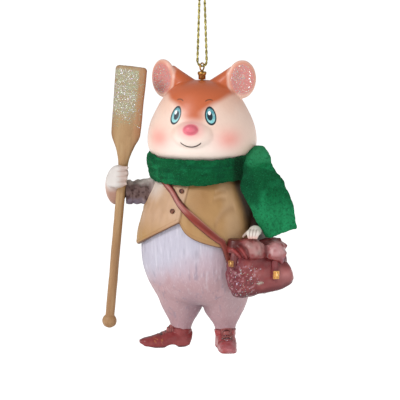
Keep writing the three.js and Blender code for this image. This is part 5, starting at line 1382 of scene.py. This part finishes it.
# The wrap's own stretch of the fold lies a little inside and below it.
UNDER_FOLD = (-0.5, 0.2, -0.7, 0, 0, 0, -0.5)
SCARF_END_TUCK = [(15.2, 2.6, 61.4, 0.5, 0.2, 0.85, 3.9), (16.6, -2.4, 62.8, 0.78, 0.26, 0.6, 4.4),
                  (18.4, -6, 62, 0.9, 0.24, 0.4, 4.5)]


def felt_band(stations, crown, count=90):
    """A thick felt strip through places with their ways across, with rounded edges and a crown across it."""
    path = curve(stations, count)
    along = unit(np.gradient(path[:, :3], axis=0))
    facing = unit(np.cross(along, path[:, 3:6]))
    across = np.cross(facing, along)
    turn = angles(96)
    share, lift = squared(np.cos(turn), 4), squared(np.sin(turn), 2.6) * SCARF_THICKNESS / 2
    lift = lift + crown * (1 - share ** 2)
    half = path[:, -1][:, None]
    return skin(path[:, None, :3] + across[:, None] * (half * share[None])[..., None]
                + facing[:, None] * lift[None, :, None])


def felted(points):
    """The unevenness of thick felt: soft lumps, short fibres and pinches."""
    return sum(depth * cloud(points, size, seed) for depth, size, seed in FELT_LUMPS)


felt, tree, shader, place, paint = painted_resin("green_felt", roughness=0.95, sheen_weight=0.12,
                                                 sheen_roughness=0.5, sheen_tint="3fae74",
                                                 specular_ior_level=0.15)
fibre = noise(tree, place, 1.6, 8, 0.75)
paint = mixed(tree, ranged(tree, fibre, 0.46, 0.64, 0, 0.6), paint, "03301a")
paint = mixed(tree, ranged(tree, noise(tree, place, 3, 4, 0.7), 0.56, 0.68, 0, 0.5), paint, "2a9c63")
laid_on(tree, shader, paint, noise(tree, place, 2.2, 8, 0.75), 0.5)
round_neck = angles(260)
to_front = (1 + np.cos(round_neck)) / 2
middle = NECK_TOP - SCARF_BACK_DROP + (SCARF_BACK_DROP - SCARF_FRONT_DROP) * to_front
rings = []
for turn in angles(72):
    up, outwards = squared(np.sin(turn), 3.2), squared(np.cos(turn), 2.6)
    stand = (outwards - 1) * SCARF_THICKNESS / 2 + up * SCARF_LEAN
    narrowed = 0.9 * to_front ** 2 if up > 0 else 1.1 * bell(round_neck, 0.95, 0.5)
    rings.append(oval(SCARF_REACH, round_neck, middle + up * (SCARF_BAND / 2 - narrowed), stand))
band = skin(np.moveaxis(np.array(rings), 0, 1), loop=True)
wrap = cast([band, felt_band(np.add(SCARF_FOLD, UNDER_FOLD), 0.3)], FELT_GRAIN, 5)
p = wrap[0]
x, y, z = p.T
folds = (bell(z - 0.09 * x, NECK_TOP - 1.1, 0.5) * step(-4, 4, x)
         + 0.8 * bell(z + 0.05 * x, NECK_TOP + 0.6, 0.4) * step(6, -6, x))
wrap = pushed(wrap, felted(p) - 0.22 * folds * step(-8, -11, y))
combed = cloud(p, 0.7, 56, (6, 6, 1))
wool = painted(
    p, "065a32",
    ("14784a", 0.55 * step(0.1, 0.8, cloud(p, 2.4, 54)) * step(11, 4, x)),
    ("1c8552", 0.6 * step(-3, -13, x) * step(0, 0.6, combed)),
    # Darker mottling of the felt, with painted shade in the folds.
    ("04432a", 0.45 * step(0.1, 0.7, cloud(p, 1.8, 55)) + 0.3 * np.clip(folds, 0, 1)),
    ("04402a", 0.4 * step(0, -0.6, combed)),
    # Painted shade, near black, in the groove between the band and the fold on the left shoulder.
    ("02200f", 0.9 * step(11.4, 13.2, x) * step(-6, -10, y)),
)
wrap_object = piece("scarf_wrapped", wrap, felt, "scarf_wrap", paint=wool)
start, below = np.array(SCARF_END)[:2, :3]
stations = SCARF_END_TUCK + [(*at, *SCARF_END_ACROSS, half) for *at, half in SCARF_END]
end = cast([felt_band(stations, SCARF_CROWN, 150)], FELT_GRAIN, 3)
p = end[0]
x, y, z = p.T
end = pushed(end, felted(p))
wool = painted(
    p, "0a6a3c",
    ("229a62", 0.5 * step(0, 0.8, cloud(p, 2.4, 54))),
    ("075030", 0.5 * step(0.15, 0.8, cloud(p, 1.8, 55))),
    ("2fa56b", 0.4 * step(53, 46, z)),
    ("064527", 0.5 * step(50, 55, z) * step(61, 59, z)),
    # Painted shade on the end's upper inner edge, beside the arm.
    ("05452a", 0.7 * step(2, -1.5, (p - start) @ SCARF_END_ACROSS + 2.6) * step(45, 52, z)),
    # Painted highlight on the top of the fold.
    ("3fa672", 0.5 * step(60, 63.5, z + 1.2 * cloud(p, 1.6, 57)) * step(14, 18, x)),
)
end_object = piece("scarf_end_hanging", end, felt, "scarf_end", body=None, paint=wool)
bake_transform(end_object)

# The stage: a plain white floor well below the hanging figure, so wide that it fills the view, under
# an even white sky. Away from the figure the floor glows by itself, so the background stays white.
FLOOR_DROP = 70
FLOOR_HALF = 9000
floor_corners = [(-1, -1), (1, -1), (1, 1), (-1, 1)]
floor_mesh = bpy.data.meshes.new("floor")
floor_corners = row([(FLOOR_HALF * x, FLOOR_HALF * y, -FLOOR_DROP) for x, y in floor_corners])
floor_mesh.from_pydata(floor_corners.tolist(), [], [(0, 1, 2, 3)])
floor = in_scene("floor", floor_mesh)
paper, tree, shader, place = new_finish("white_paper", roughness=0.9, emission_color=(1, 1, 1, 1))
feed(tree, shader.inputs["Base Color"],
     mixed(tree, noise(tree, place, 0.02, 2), (0.92, 0.92, 0.92, 1), (0.94, 0.94, 0.94, 1)))
level = stretched(tree, place, (1, 1, 0))
away = put(tree, "VectorMath", level, operation="LENGTH").outputs["Value"]
feed(tree, shader.inputs["Emission Strength"], ranged(tree, away, 90, 220, 0, 0.62))
floor_mesh.materials.append(paper)


def lamp(name, at, target, size, watts):
    """A square soft lamp that faces a target."""
    light = bpy.data.lights.new(name, "AREA")
    light.shape, light.size, light.energy = "SQUARE", size / 1000, watts
    facing = Vector(row(at) - row(target)).to_track_quat("Z", "Y")
    in_scene(name, light).matrix_world = Matrix.LocRotScale(row(at), facing, None)


lamp("key", (-420, -560, 520), (0, 0, 50), 260, 3.4)
lamp("fill", (560, -420, 160), (0, 0, 45), 420, 0.5)
world = bpy.data.worlds.new("white_studio")
world.use_nodes = True
world.node_tree.nodes["Background"].inputs["Color"].default_value = (1, 1, 1, 1)
world.node_tree.nodes["Background"].inputs["Strength"].default_value = 0.5
bpy.context.scene.world = world
bpy.context.scene.view_settings.view_transform = "Standard"
